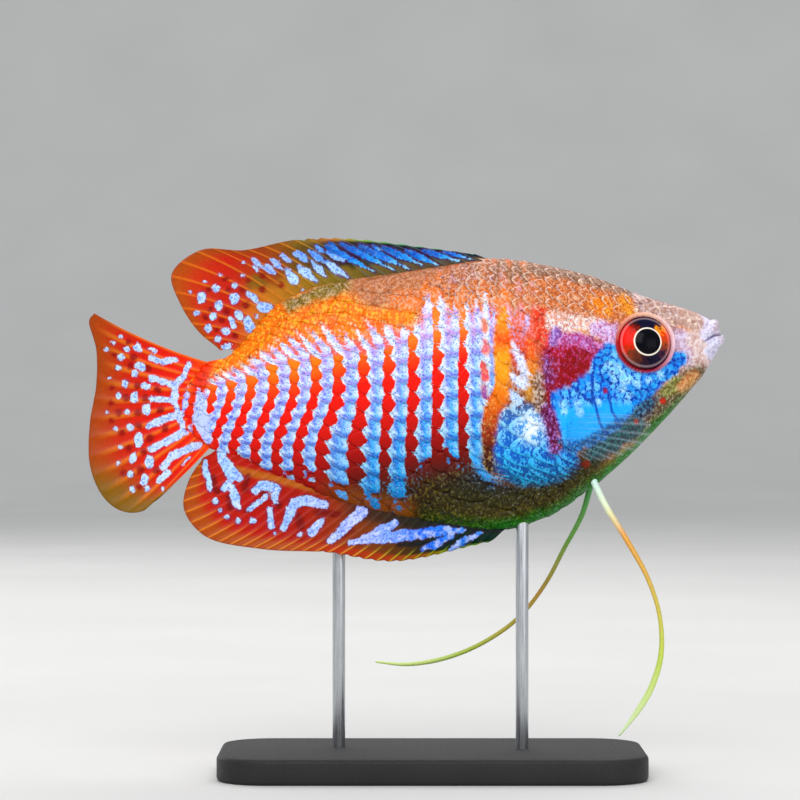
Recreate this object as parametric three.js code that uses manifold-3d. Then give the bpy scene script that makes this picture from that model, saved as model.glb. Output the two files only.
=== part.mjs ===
// Dwarf gourami, a male, as a still life-size model on a plain display stand.
// Millimetres, +Z up. The snout points to +X and the fish's right side faces -Y.
// The origin is under the middle of the fish's length, on the stand's underside.

import * as THREE from "three";
import { mergeVertices } from "three/addons/utils/BufferGeometryUtils.js";
import Module from "manifold-3d";

const wasm = await Module();
wasm.setup();

// Driving dimensions
const gap = 0.3; // kept between pieces that touch
const tailEndX = -26.2; // where the flesh ends, inside the root of the tail fin
const snoutX = 37.1; // front of the jaws, behind the lips
const facets = { stations: 46, sides: 28, crowding: 1.35 }; // stations crowd towards the snout

// The body's outline from tail to snout: [x, height], [x, height], [x, half width].
const backLine = [
  [-26.2, 45.2], [-25.4, 47], [-24, 48.3], [-20.6, 49.7], [-16, 54.8], [-12.5, 57], [-6.5, 58.4],
  [4, 60], [9, 60.7], [13.5, 60.4], [18.2, 59.5], [22.4, 58.4], [27.5, 56.4],
  [33.4, 54.5], [35.5, 53.5], [37.1, 51.9],
];
const bellyLine = [
  [-26.2, 41.4], [-25.4, 39.7], [-24, 38.4], [-20, 37.1], [-12.5, 33.7], [-6.5, 31.5],
  [5, 29.1], [9.8, 28.5], [13.4, 28.9], [17, 30.2], [20.4, 32.4], [27.5, 38.7],
  [34.4, 46.3], [35.9, 48.6], [37.1, 50.7],
];
const halfWidths = [
  [-26.2, 0.5], [-24, 1.1], [-18, 2.1], [-12, 3.2], [-5, 4.2], [3, 4.9], [10, 5.15],
  [16, 5.1], [22, 4.8], [28, 4], [32, 3.1], [35, 2.1], [37.1, 1.1],
];
// Height of the widest level, as a share of the depth, and how sharp the back and the belly are.
const widestLevels = [[-26.2, 0.5], [-6, 0.56], [10, 0.58], [20, 0.5], [28, 0.5], [37.1, 0.5]];
const backSharpness = [[-26.2, 1.3], [0, 1.25], [14, 1.15], [26, 0.95], [37.1, 0.85]];
const bellySharpness = [[-26.2, 1.3], [0, 1.4], [12, 1.3], [24, 1.1], [37.1, 0.85]];

const eye = { x: 27.8, z: 50.7, radius: 3.4, depth: 1.5, proud: 0.75, rim: 0.36 };
const nostrils = [
  { x: 31.5, z: 53.1, radius: 0.45 },
  { x: 33.6, z: 53.2, radius: 0.3 },
];
const gillCover = { proud: 0.22, thickness: 0.85 };
const gillCoverOutline = [
  [21.8, 51], [19.2, 51.9], [16.9, 50.6], [16, 46.5], [16.2, 42.3], [17.5, 38.9], [20.3, 36.6],
  [23.4, 38.2], [23.2, 42], [22.2, 46.5],
];
// Where the head's flesh ends under the edge of the gill cover, from nape to throat.
const headEdge = [
  [14.9, 63], [15.6, 54], [16.8, 50], [16.6, 46], [16.9, 42], [18.2, 38.8], [20.6, 36], [22.6, 31],
];
const tailStalkX = -15.5; // the cut between trunk and tail stalk
// The lower jaw's share of the head: its upper edge is the slit of the mouth.
const jawRegion = [[35.25, 50.95], [39.5, 53], [42, 43], [33.9, 43.6], [33.2, 47.6]];
// Each lip runs from its corner to the middle and back; its radius grows from thin to thick.
const upperLip = {
  line: [[34.8, 1.75, 51.6], [35.8, 1.2, 52.5], [36.15, 0, 52.85]], thick: 0.66, thin: 0.42,
};
const lowerLip = {
  line: [[35.4, 1.6, 50.2], [36.4, 1.15, 50.8], [36.85, 0, 51.05]], thick: 0.6, thin: 0.42,
};

// Each fin: roots and tips of its rays as [x, y, z] or [x, z], front to back or top to bottom.
const fins = {
  dorsal_fin: {
    root: [
      [9.2, 60.7], [0, 59.4], [-6.6, 58.4], [-11.4, 57.4], [-14.3, 55.9],
      [-16.3, 54.5], [-18.1, 52.9], [-19.5, 51.2], [-20.4, 49.9],
    ],
    edge: [
      [7.8, 61.2], [-7.2, 63], [-13.3, 62.8], [-19.2, 61.6], [-24.2, 61.6],
      [-27.6, 58.8], [-26.7, 55.5], [-24.6, 52.2], [-21.9, 49.9],
    ],
    rays: 24, spines: 16, rows: 7, scallop: 0.4, sink: 2.2, bow: [0.45, 0.45],
  },
  anal_fin: {
    root: [
      [11.2, 28.5], [3, 29.6], [-3.2, 30.8], [-8.8, 32.2],
      [-14.3, 34.3], [-17.6, 35.9], [-20.2, 37.1], [-22.6, 38],
    ],
    edge: [
      [9.6, 27.3], [-1.5, 25], [-9.6, 26.1], [-17, 26.5],
      [-23.7, 28], [-26.2, 31.2], [-25.6, 34.6], [-23.9, 37.2],
    ],
    rays: 30, spines: 17, rows: 7, scallop: 0.3, sink: 2.2, bow: [-0.45, -0.45],
  },
  caudal_fin: {
    root: [[-23.2, 48.4], [-23.2, 38.3]],
    edge: [
      [-37.3, 54.2], [-36.3, 49.9], [-36.6, 45.7], [-37.3, 41.2],
      [-37.2, 36.2], [-35.2, 31.7], [-31.6, 31],
    ],
    rays: 15, spines: 0, rows: 9, scallop: 0, sink: 0, bow: [-0.5, -0.2],
  },
};
const pectoralFin = {
  root: [[18, -4.75, 42.3], [18.3, -4.75, 41], [18.5, -4.65, 39.8], [18.4, -4.5, 38.7]],
  edge: [
    [26.4, -5.3, 42.2], [28.3, -5.6, 41.4], [28, -5.9, 39.7],
    [26, -6, 38.1], [23.5, -5.8, 37.1], [21.2, -5.3, 37],
  ],
  rays: 10, spines: 0, rows: 6, scallop: 0, sink: 1.2, bow: [0.2, -0.1],
};
const longRay = 10; // a ray this long takes a fin's full bow
const rayThickness = { root: 0.8, tip: 0.56 };
const webThickness = { root: 0.56, tip: 0.5 };
// Kept clear of the dorsal and anal fins, where the tail fin leaves the flesh.
const tailRoom = { x: [-27, -23.7], z: [37.4, 49.4] };

// The two thread-like pelvic fins: the line that each follows, and its thickness.
const feelerLines = {
  right: [
    [21.7, -1.2, 35], [23.2, -2.2, 31.8], [25.7, -3.8, 27.6], [28, -5.1, 23.3],
    [29.3, -6.1, 19], [29.4, -6.8, 14.5], [28.2, -7, 10.6], [26.4, -6.9, 7.6], [24.5, -6.6, 5.1],
  ],
  left: [
    [21.8, 1.2, 34.2], [20.8, 2.3, 30.5], [18.7, 3.9, 26.3], [16.5, 5.3, 22],
    [13.3, 6.3, 17.9], [8.9, 6.9, 14.8], [4.4, 7.3, 13], [0, 7.6, 12.3], [-3.8, 7.8, 12.6],
  ],
};
// Each feeler's radius along it: strong root, thin middle, a flattened end part and a fine tip.
const feelerRadii = {
  right: [[0, 0.42], [0.25, 0.33], [0.55, 0.26], [0.85, 0.38], [1, 0.12]],
  left: [[0, 0.38], [0.25, 0.28], [0.6, 0.26], [0.85, 0.26], [1, 0.12]],
};
const feeler = { pieces: 3, steps: 9, sides: 8 };

const stand = { x: 3, length: 50, width: 25, thickness: 3, corner: 6, bevel: 0.5 };
const rods = {
  stand_rod_front: { x: 13.6, y: 0, radius: 0.75 },
  stand_rod_rear: { x: -8, y: 2.3, radius: 0.75 },
};
const rodSink = 9; // how far a rod runs on inside the flesh before it is cut off at the skin

const colours = {
  skin: { color: "#d8602f", roughness: 0.4, metalness: 0 },
  gill: { color: "#2b7fd6", roughness: 0.35, metalness: 0.1 },
  lip: { color: "#b9a3ad", roughness: 0.45, metalness: 0 },
  eye: { color: "#b8301c", roughness: 0.1, metalness: 0 },
  fin: { color: "#b8391a", roughness: 0.4, metalness: 0 },
  clearFin: { color: "#9fc4dc", roughness: 0.3, metalness: 0, transparent: true, opacity: 0.5 },
  feeler: { color: "#d9b23a", roughness: 0.4, metalness: 0 },
  rod: { color: "#b9bcc0", roughness: 0.3, metalness: 1 },
  base: { color: "#23211f", roughness: 0.45, metalness: 0 },
};

// A smooth line through [x, value] points, as a function of x that stays level past its ends.
function through(points) {
  const slope = (i) => {
    const a = points[Math.max(0, i - 1)];
    const b = points[Math.min(points.length - 1, i + 1)];
    return (b[1] - a[1]) / (b[0] - a[0]);
  };
  return (x) => {
    const at = THREE.MathUtils.clamp(x, points[0][0], points[points.length - 1][0]);
    let i = 0;
    while (i < points.length - 2 && at > points[i + 1][0]) i++;
    const width = points[i + 1][0] - points[i][0];
    const u = (at - points[i][0]) / width;
    const rise = points[i + 1][1] - points[i][1];
    const start = slope(i) * width - rise;
    const end = rise - slope(i + 1) * width;
    return points[i][1] + u * rise + u * (1 - u) * (start * (1 - u) + end * u);
  };
}

const backAt = through(backLine);
const bellyAt = through(bellyLine);
const halfWidthAt = through(halfWidths);
const levelAt = through(widestLevels);
const backSharpnessAt = through(backSharpness);
const bellySharpnessAt = through(bellySharpness);

// The body's section at x, made larger all round by grow.
function section(x, grow) {
  const top = backAt(x) + grow;
  const bottom = bellyAt(x) - grow;
  const middle = bottom + levelAt(x) * (top - bottom);
  return { top, bottom, middle, half: halfWidthAt(x) + grow };
}

// A point of the body's surface: angle 0 is the left flank, a quarter turn is the back.
function bodyPoint(x, angle, grow) {
  const s = section(x, grow);
  const up = Math.sin(angle);
  const out = Math.cos(angle);
  const sharpness = up > 0 ? backSharpnessAt(x) : bellySharpnessAt(x);
  const reach = up > 0 ? s.top - s.middle : s.middle - s.bottom;
  return [Math.sign(out) * s.half * Math.abs(out) ** sharpness, s.middle + reach * up];
}

// How far the flank stands from the middle plane at a place seen from the side.
function flankAt(x, z) {
  const s = section(x, 0);
  const above = z > s.middle;
  const up = Math.min(1, Math.abs(z - s.middle) / (above ? s.top - s.middle : s.middle - s.bottom));
  return s.half * Math.sqrt(1 - up * up) ** (above ? backSharpnessAt(x) : bellySharpnessAt(x));
}

// A closed surface through rings of points, with a flat cap on each end.
function skinOver(rings) {
  const sides = rings[0].length;
  const points = rings.flat();
  const index = [];
  for (let i = 0; i < rings.length - 1; i++)
    for (let j = 0; j < sides; j++) {
      const a = i * sides + j;
      const b = i * sides + ((j + 1) % sides);
      index.push(a, b, a + sides, b, b + sides, a + sides);
    }
  for (const [ring, first] of [[rings[0], 0], [rings.at(-1), (rings.length - 1) * sides]]) {
    const centre = ring.reduce((sum, p) => sum.add(p), new THREE.Vector3()).divideScalar(sides);
    points.push(centre);
    for (let j = 0; j < sides; j++) {
      const edge = [first + j, first + ((j + 1) % sides)];
      if (first === 0) edge.reverse();
      index.push(...edge, points.length - 1);
    }
  }
  return new THREE.BufferGeometry().setFromPoints(points).setIndex(index);
}

// Two like faces of a thin piece, joined round their edge. Both are cut into the same triangles.
function slab(near, far, columns, rows) {
  const back = near.length;
  const index = [];
  const quad = (a, b, c, d) => index.push(a, b, d, b, c, d);
  for (let i = 0; i < columns - 1; i++)
    for (let j = 0; j < rows - 1; j++) {
      const [a, b, c, d] = [i * rows + j, (i + 1) * rows + j, (i + 1) * rows + j + 1, i * rows + j + 1];
      quad(a, b, c, d);
      index.push(back + a, back + d, back + b, back + b, back + d, back + c);
    }
  for (let i = 0; i < columns - 1; i++) {
    const [a, b] = [i * rows, (i + 1) * rows];
    quad(b, a, back + a, back + b);
    quad(a + rows - 1, b + rows - 1, back + b + rows - 1, back + a + rows - 1);
  }
  for (let j = 0; j < rows - 1; j++) {
    const last = (columns - 1) * rows + j;
    quad(j, j + 1, back + j + 1, back + j);
    quad(last + 1, last, back + last, back + last + 1);
  }
  return new THREE.BufferGeometry().setFromPoints([...near, ...far]).setIndex(index);
}

// A closed geometry as a solid, with its faces turned outwards.
function solid(geometry) {
  const bare = geometry.clone();
  bare.deleteAttribute("normal");
  bare.deleteAttribute("uv");
  const merged = mergeVertices(bare, 1e-4);
  const vertProperties = new Float32Array(merged.attributes.position.array);
  const make = (triVerts) =>
    new wasm.Manifold(new wasm.Mesh({ numProp: 3, vertProperties, triVerts }));
  const triangles = new Uint32Array(merged.index.array);
  const made = make(triangles);
  return made.volume() > 0 ? made : make(triangles.reverse());
}

const largest = (made) => made.decompose().reduce((a, b) => (b.volume() > a.volume() ? b : a));

function geometryOf(made) {
  const mesh = made.getMesh();
  const geometry = new THREE.BufferGeometry();
  geometry.setAttribute("position", new THREE.BufferAttribute(new Float32Array(mesh.vertProperties), 3));
  geometry.setIndex(new THREE.BufferAttribute(new Uint32Array(mesh.triVerts), 1));
  geometry.computeVertexNormals();
  return geometry;
}

// The whole body from the tail fin's root to the jaws, larger all round by grow.
function wholeBody(grow = 0) {
  const rings = [];
  for (let i = 0; i <= facets.stations; i++) {
    const share = 1 - (1 - i / facets.stations) ** facets.crowding;
    const x = THREE.MathUtils.lerp(tailEndX - grow, snoutX + grow, share);
    const ring = [];
    for (let j = 0; j < facets.sides; j++) {
      const [y, z] = bodyPoint(x, (j / facets.sides) * Math.PI * 2, grow);
      ring.push(new THREE.Vector3(x, y, z));
    }
    rings.push(ring);
  }
  return solid(skinOver(rings));
}

// A side-view outline carried through the fish between two depths.
function prism(outline, nearY, farY) {
  const shape = new THREE.Shape(outline.map(([x, z]) => new THREE.Vector2(x, z)));
  const geometry = new THREE.ExtrudeGeometry(shape, { depth: farY - nearY, bevelEnabled: false });
  geometry.rotateX(Math.PI / 2).translate(0, farY, 0);
  return solid(geometry);
}

// Points of a side-view line moved to its left by amount, or a closed outline made larger by it.
function beside(points, amount, closed) {
  const last = points.length - 1;
  const turn = closed && THREE.ShapeUtils.area(points.map(([x, y]) => ({ x, y }))) > 0 ? -1 : 1;
  return points.map(([x, z], i) => {
    const before = points[i > 0 ? i - 1 : closed ? last : 0];
    const after = points[i < last ? i + 1 : closed ? 0 : last];
    const along = new THREE.Vector2(after[0] - before[0], after[1] - before[1]).normalize();
    return [x - along.y * amount * turn, z + along.x * amount * turn];
  });
}

const smooth = (points, closed, count) =>
  new THREE.CatmullRomCurve3(points.map(([x, z]) => new THREE.Vector3(x, 0, z)), closed)
    .getPoints(count)
    .slice(0, closed ? -1 : undefined)
    .map((p) => [p.x, p.z]);

// A round thread along a curve, from one share of its length to another.
function thread(curve, from, to, radiusAt, steps, sides) {
  const rings = [];
  let side = new THREE.Vector3(0, 1, 0);
  for (let i = 0; i <= steps; i++) {
    const share = THREE.MathUtils.lerp(from, to, i / steps);
    const centre = curve.getPointAt(share);
    const along = curve.getTangentAt(share);
    side = side.clone().addScaledVector(along, -side.dot(along)).normalize();
    const up = new THREE.Vector3().crossVectors(along, side);
    const ring = [];
    const reach = radiusAt(share);
    for (let j = 0; j < sides; j++) {
      const angle = (j / sides) * Math.PI * 2;
      const point = centre.clone().addScaledVector(side, Math.cos(angle) * reach);
      ring.push(point.addScaledVector(up, Math.sin(angle) * reach));
    }
    rings.push(ring);
  }
  return solid(skinOver(rings));
}

// A fin: rays stand out as ridges on both faces of a thin web. Between its spines the edge is
// notched by scallop, its rays bow up or down, and its root is sunk into the flesh.
function fin({ root, edge, rays, spines, rows, scallop, sink, bow }, sideways) {
  const curve = (points) =>
    new THREE.CatmullRomCurve3(
      points.map((p) => (p.length === 3 ? new THREE.Vector3(...p) : new THREE.Vector3(p[0], 0, p[1]))),
    );
  const [rootCurve, edgeCurve] = [curve(root), curve(edge)];
  const columns = 2 * rays - 1;
  const near = [];
  const far = [];
  for (let i = 0; i < columns; i++) {
    const t = i / (columns - 1);
    const isRay = i % 2 === 0;
    const from = rootCurve.getPoint(t);
    const to = edgeCurve.getPoint(t);
    const length = from.distanceTo(to);
    const notch = isRay || i / 2 > spines ? 0 : Math.min(scallop / length, 0.25);
    const thickness = isRay ? rayThickness : webThickness;
    for (let j = 0; j <= rows; j++) {
      const v = THREE.MathUtils.lerp(-sink / length, 1 - notch, j / rows);
      const point = from.clone().lerp(to, v);
      const arch = 4 * Math.max(0, v * (1 - v)) * Math.min(1, length / longRay);
      point.z += THREE.MathUtils.lerp(...bow, t) * arch;
      point.y += sideways(t, Math.max(0, v));
      const thinned = j === rows ? 0.5 : 1;
      const half = 0.5 * thinned * THREE.MathUtils.lerp(thickness.root, thickness.tip, v);
      near.push(point.clone().add(new THREE.Vector3(0, -half, 0)));
      far.push(point.clone().add(new THREE.Vector3(0, half, 0)));
    }
  }
  return solid(slab(near, far, columns, rows + 1));
}

const ellipsoid = (radii, segments, rings) =>
  new THREE.SphereGeometry(1, segments, rings).scale(...radii);

// Turns a piece made facing sideways so that it looks out of the head, and puts it at the eye.
function atEye(geometry, side, outwards) {
  const y = flankAt(eye.x, eye.z);
  const reach = eye.radius;
  const forward = (flankAt(eye.x - reach, eye.z) - flankAt(eye.x + reach, eye.z)) / (2 * reach);
  const upward = (flankAt(eye.x, eye.z - reach) - flankAt(eye.x, eye.z + reach)) / (2 * reach);
  const look = new THREE.Vector3(forward, side, upward).normalize();
  const turn = new THREE.Quaternion().setFromUnitVectors(new THREE.Vector3(0, side, 0), look);
  const centre = new THREE.Vector3(eye.x, side * y, eye.z).addScaledVector(look, outwards);
  return solid(geometry.applyQuaternion(turn).translate(centre.x, centre.y, centre.z));
}

function eyeball(side, grow) {
  const radii = [eye.radius + grow, eye.depth + grow, eye.radius + grow];
  return atEye(ellipsoid(radii, 20, 10), side, eye.proud - eye.depth);
}

function eyeRim(side) {
  const ring = new THREE.TorusGeometry(eye.radius, eye.rim, 6, 24).rotateX(Math.PI / 2);
  return atEye(ring, side, 0);
}

function lip({ line, thick, thin }, grow) {
  const half = line.map(([x, y, z]) => new THREE.Vector3(x, y, z));
  const other = line.slice(0, -1).reverse().map(([x, y, z]) => new THREE.Vector3(x, -y, z));
  const curve = new THREE.CatmullRomCurve3([...half, ...other]);
  const radiusAt = (share) => thin + (thick - thin) * Math.sin(share * Math.PI) + grow;
  return thread(curve, 0, 1, radiusAt, 12, 10);
}

// The plate over the gills on one side, and the pocket in the flesh that it lies in.
function gillCoverPieces(side) {
  const outline = smooth(gillCoverOutline, true, 40);
  const [nearY, farY] = side < 0 ? [-9, 0] : [0, 9];
  const grown = beside(outline, gap, true);
  const underside = gillCover.proud - gillCover.thickness;
  const shell = wholeBody(gillCover.proud).subtract(wholeBody(underside));
  const pocket = prism(grown, nearY, farY).subtract(wholeBody(underside - gap));
  return { plate: largest(shell.intersect(prism(outline, nearY, farY))), pocket };
}

const nodes = {};
const body = wholeBody();
const bodyWithRoom = wholeBody(gap);
const throughFish = [-12, 12];
const [below, above] = [20, 70]; // well outside the body's outline

// Gill covers
const covers = { right: gillCoverPieces(-1), left: gillCoverPieces(1) };
for (const [name, { plate }] of Object.entries(covers)) nodes[`gill_cover_${name}`] = [plate, "gill"];

// The flesh, parted into head, trunk and tail stalk
const fleshed = body.subtract(covers.right.pocket).subtract(covers.left.pocket);
const edgeLine = smooth(headEdge, false, 24);
const headArea = prism([...edgeLine, [45, 31], [45, 63]], ...throughFish);
const headRoom = beside(edgeLine, -gap, false);
const behindHead = prism([...headRoom, [tailStalkX, below], [tailStalkX, above]], ...throughFish);
const stalkFront = tailStalkX - gap;
const behindTrunk = prism(
  [[stalkFront, below], [2 * tailEndX, below], [2 * tailEndX, above], [stalkFront, above]],
  ...throughFish,
);
nodes.trunk = [largest(fleshed.intersect(behindHead)), "skin"];
nodes.tail_stalk = [largest(fleshed.intersect(behindTrunk)), "skin"];

// Jaws and lips
const upper = lip(upperLip, 0);
const upperRoom = lip(upperLip, gap);
const jawOutline = prism(jawRegion, ...throughFish);
const jawRoom = prism(beside(jawRegion, gap, true), ...throughFish);
const lower = lip(lowerLip, 0);
nodes.upper_lip = [upper, "lip"];
nodes.lower_jaw = [largest(body.intersect(jawOutline).add(lower).subtract(upperRoom)), "lip"];

// Head, with the rims of the eyes, the sockets and the nostrils
let head = fleshed.intersect(headArea);
for (const side of [-1, 1]) head = head.add(eyeRim(side));
for (const side of [-1, 1]) {
  head = head.subtract(eyeball(side, gap));
  for (const { x, z, radius } of nostrils) {
    const pit = ellipsoid([radius, radius, radius], 10, 8).translate(x, side * flankAt(x, z), z);
    head = head.subtract(solid(pit));
  }
}
head = head.subtract(jawRoom).subtract(upperRoom).subtract(lip(lowerLip, gap));
nodes.head = [largest(head), "skin"];
nodes.eye_right = [eyeball(-1, 0), "eye"];
nodes.eye_left = [eyeball(1, 0), "eye"];

// Fins on the middle line, each with a slow wave towards its edge
const waves = {
  dorsal_fin: (t, v) => 0.7 * v * v * Math.sin(t * 7),
  anal_fin: (t, v) => 0.7 * v * v * Math.sin(1 + t * 6.5),
  caudal_fin: (t, v) => 1.1 * v * v * Math.sin(0.6 + t * 4.6),
};
const atTail = prism(
  [[0, 0], [1, 0], [1, 1], [0, 1]].map(([i, j]) => [tailRoom.x[i], tailRoom.z[j]]),
  ...throughFish,
);
for (const [name, spec] of Object.entries(fins)) {
  let made = fin(spec, waves[name]).subtract(bodyWithRoom);
  if (name !== "caudal_fin") made = made.subtract(atTail);
  nodes[name] = [largest(made), "fin"];
}

// Pectoral fins, held forward over the gill covers
const cupped = (t, v) => -1.6 * v * (1 - v) * (0.4 + 0.6 * t);
const rightPectoral = largest(fin(pectoralFin, cupped).subtract(wholeBody(gillCover.proud + gap)));
nodes.pectoral_fin_right = [rightPectoral, "clearFin"];
nodes.pectoral_fin_left = [rightPectoral.mirror([0, 1, 0]), "clearFin"];

// Pelvic feelers, each in a few lengths
for (const [name, line] of Object.entries(feelerLines)) {
  const curve = new THREE.CatmullRomCurve3(line.map((p) => new THREE.Vector3(...p)));
  const space = gap / curve.getLength();
  const radiusAt = through(feelerRadii[name]);
  for (let i = 0; i < feeler.pieces; i++) {
    const from = i / feeler.pieces + (i > 0 ? space / 2 : 0);
    const to = (i + 1) / feeler.pieces - (i < feeler.pieces - 1 ? space / 2 : 0);
    const made = thread(curve, from, to, radiusAt, feeler.steps, feeler.sides);
    nodes[`pelvic_feeler_${name}_${i + 1}`] = [largest(made.subtract(bodyWithRoom)), "feeler"];
  }
}

// Display stand
function standBase() {
  const { length, width, corner, thickness, bevel } = stand;
  const [l, w, r] = [length / 2 - bevel, width / 2 - bevel, corner];
  const shape = new THREE.Shape();
  shape.moveTo(-l + r, -w).lineTo(l - r, -w).absarc(l - r, -w + r, r, -Math.PI / 2, 0);
  shape.lineTo(l, w - r).absarc(l - r, w - r, r, 0, Math.PI / 2);
  shape.lineTo(-l + r, w).absarc(-l + r, w - r, r, Math.PI / 2, Math.PI);
  shape.lineTo(-l, -w + r).absarc(-l + r, -w + r, r, Math.PI, 1.5 * Math.PI);
  const geometry = new THREE.ExtrudeGeometry(shape, {
    depth: thickness - 2 * bevel,
    bevelThickness: bevel,
    bevelSize: bevel,
    bevelSegments: 2,
    curveSegments: 8,
  });
  return solid(geometry.translate(stand.x, 0, bevel));
}
nodes.stand_base = [standBase(), "base"];
for (const [name, { x, y, radius }] of Object.entries(rods)) {
  const foot = stand.thickness + gap;
  const length = bellyAt(x) + rodSink - foot;
  const rod = new THREE.CylinderGeometry(radius, radius, length, 20).rotateX(Math.PI / 2);
  const whole = solid(rod.translate(x, y, foot + length / 2));
  nodes[name] = [largest(whole.subtract(bodyWithRoom)), "rod"];
}

const part = new THREE.Group();
for (const [name, [made, colour]] of Object.entries(nodes)) {
  const mesh = new THREE.Mesh(geometryOf(made), new THREE.MeshStandardMaterial(colours[colour]));
  mesh.name = name;
  part.add(mesh);
}

export default part;
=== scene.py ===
# Dwarf gourami, a male, as a still life-size museum model on its stand, for Blender 4.5.
# Lengths are millimetres until a mesh is made. The snout points to +X, the right side faces -Y.

import math

import bpy
import numpy as np
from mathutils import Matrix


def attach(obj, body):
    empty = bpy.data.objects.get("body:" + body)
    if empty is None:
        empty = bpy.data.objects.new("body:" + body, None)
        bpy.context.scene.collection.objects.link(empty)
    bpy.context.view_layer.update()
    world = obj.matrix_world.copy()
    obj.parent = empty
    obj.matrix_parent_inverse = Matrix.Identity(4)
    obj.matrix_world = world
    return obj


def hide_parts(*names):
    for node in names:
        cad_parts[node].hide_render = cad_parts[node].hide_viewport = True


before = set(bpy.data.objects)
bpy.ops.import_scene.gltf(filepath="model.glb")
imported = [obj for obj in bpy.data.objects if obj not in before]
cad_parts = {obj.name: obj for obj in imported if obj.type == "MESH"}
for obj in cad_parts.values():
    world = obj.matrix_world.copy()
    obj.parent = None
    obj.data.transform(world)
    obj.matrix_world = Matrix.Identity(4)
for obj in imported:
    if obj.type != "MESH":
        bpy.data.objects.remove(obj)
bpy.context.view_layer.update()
random = np.random.default_rng(11)
mm = 0.001
view = {"lens": 150, "sensor": 36, "frame": 800, "distance": 392.2, "x": -0.765, "z": 44.0,
        "pixel": 0.115, "finPixel": 0.1162}  # a photo pixel in millimetres, for the widths of strokes


# Numbers and colours

def linear(code):  # an sRGB hex colour as linear light
    share = np.array([int(code[i : i + 2], 16) for i in (1, 3, 5)]) / 255
    return np.where(share <= 0.04045, share / 12.92, ((share + 0.055) / 1.055) ** 2.4)


def ease(low, high, value):  # 0 below low, 1 above high, smooth between
    u = np.clip((value - low) / (high - low), 0, 1)
    return u * u * (3 - 2 * u)


def through(points):  # a smooth line through [x, value] points, level past its ends
    xs, values = np.array(points, float).T
    order = np.arange(len(xs))
    before, after = np.maximum(order - 1, 0), np.minimum(order + 1, len(xs) - 1)
    slopes = (values[after] - values[before]) / (xs[after] - xs[before])

    def at(x):
        x = np.clip(np.asarray(x, float), xs[0], xs[-1])
        i = np.clip(np.searchsorted(xs, x, side="right") - 1, 0, len(xs) - 2)
        width, rise = xs[i + 1] - xs[i], values[i + 1] - values[i]
        u = (x - xs[i]) / width
        start, end = slopes[i] * width - rise, rise - slopes[i + 1] * width
        return values[i] + u * rise + u * (1 - u) * (start * (1 - u) + end * u)

    return at


def curveThrough(points):  # a centripetal Catmull-Rom curve; its share runs evenly from point to point
    points = np.array(points, float)
    padded = np.vstack([2 * points[0] - points[1], points, 2 * points[-1] - points[-2]])

    def at(share):
        place = np.clip(np.asarray(share, float), 0, 1) * (len(points) - 1)
        i = np.minimum(place.astype(int), len(points) - 2)
        u = (place - i)[..., None]
        a, b, c, d = (padded[i + k] for k in range(4))
        first, middle, last = (
            np.maximum(np.linalg.norm(q - p, axis=-1, keepdims=True) ** 0.5, 1e-4)
            for p, q in ((a, b), (b, c), (c, d))
        )
        start = ((b - a) / first - (c - a) / (first + middle) + (c - b) / middle) * middle
        end = ((c - b) / middle - (d - b) / (middle + last) + (d - c) / last) * middle
        return (
            b + start * u + (3 * (c - b) - 2 * start - end) * u**2
            + (2 * (b - c) + start + end) * u**3
        )

    return at


def lengthAlong(points):  # the length of a line of points up to each of them
    return np.concatenate([[0], np.cumsum(np.linalg.norm(np.diff(points, axis=0), axis=1))])


def seen(places, depth=0):  # places in the photo, in its pixels, as side-view millimetres at a depth
    scale = view["frame"] * view["lens"] / view["sensor"] / (view["distance"] + depth)
    x, y = np.moveaxis(np.array(places, float) - view["frame"] / 2, -1, 0)
    return np.stack([view["x"] + x / scale, view["z"] - y / scale], axis=-1)


grainTable = random.random((256, 256))


def grain(x, z, size, layer=0):  # smooth noise from 0 to 1, in patches of that size
    u, v = x / size + 31.7 * layer, z / size + 17.3 * layer
    i, j = np.floor(u).astype(int), np.floor(v).astype(int)
    fu, fv = u - i, v - j
    fu, fv = fu * fu * (3 - 2 * fu), fv * fv * (3 - 2 * fv)
    i, j, nextI, nextJ = i % 256, j % 256, (i + 1) % 256, (j + 1) % 256
    near = grainTable[i, j] * (1 - fu) + grainTable[nextI, j] * fu
    far = grainTable[i, nextJ] * (1 - fu) + grainTable[nextI, nextJ] * fu
    return near * (1 - fv) + far * fv


def wander(x, z, size, layer):  # the same noise from -0.5 to 0.5, to make edges and tones uneven
    return grain(x, z, size, layer) - 0.5


def nearLine(points, x, z):  # distance to a side-view line, which side of it, and the share along it
    points = np.array(points, float)
    best = np.full(np.shape(x), 1e9)
    side, along = np.zeros(np.shape(x)), np.zeros(np.shape(x))
    for i, (a, b) in enumerate(zip(points[:-1], points[1:])):
        dx, dz = b - a
        u = np.clip(((x - a[0]) * dx + (z - a[1]) * dz) / (dx * dx + dz * dz + 1e-9), 0, 1)
        away = np.hypot(x - a[0] - u * dx, z - a[1] - u * dz)
        closer = away < best
        best = np.where(closer, away, best)
        side = np.where(closer, np.sign(dx * (z - a[1]) - dz * (x - a[0])), side)
        along = np.where(closer, (i + u) / (len(points) - 1), along)
    return best, side, along


def stroked(line, reach, x, z, depth=-4):  # positive inside a stroke; its line and half widths are in pixels
    line = line * 2 if len(line) == 1 else line
    reach = np.atleast_1d(reach)
    away, _, along = nearLine(seen(line, depth), x, z)
    return view["pixel"] * np.interp(along, np.linspace(0, 1, len(reach)), reach) - away


def within(outline, x, z):  # distance to a closed side-view outline, positive inside it
    loop = np.vstack([outline, outline[:1]])
    crossed = np.zeros(np.shape(x), bool)
    for (ax, az), (bx, bz) in zip(loop[:-1], loop[1:]):
        crossed ^= ((az > z) != (bz > z)) & (x < (bx - ax) * (z - az) / (bz - az + 1e-12) + ax)
    return nearLine(loop, x, z)[0] * np.where(crossed, 1, -1)


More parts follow.
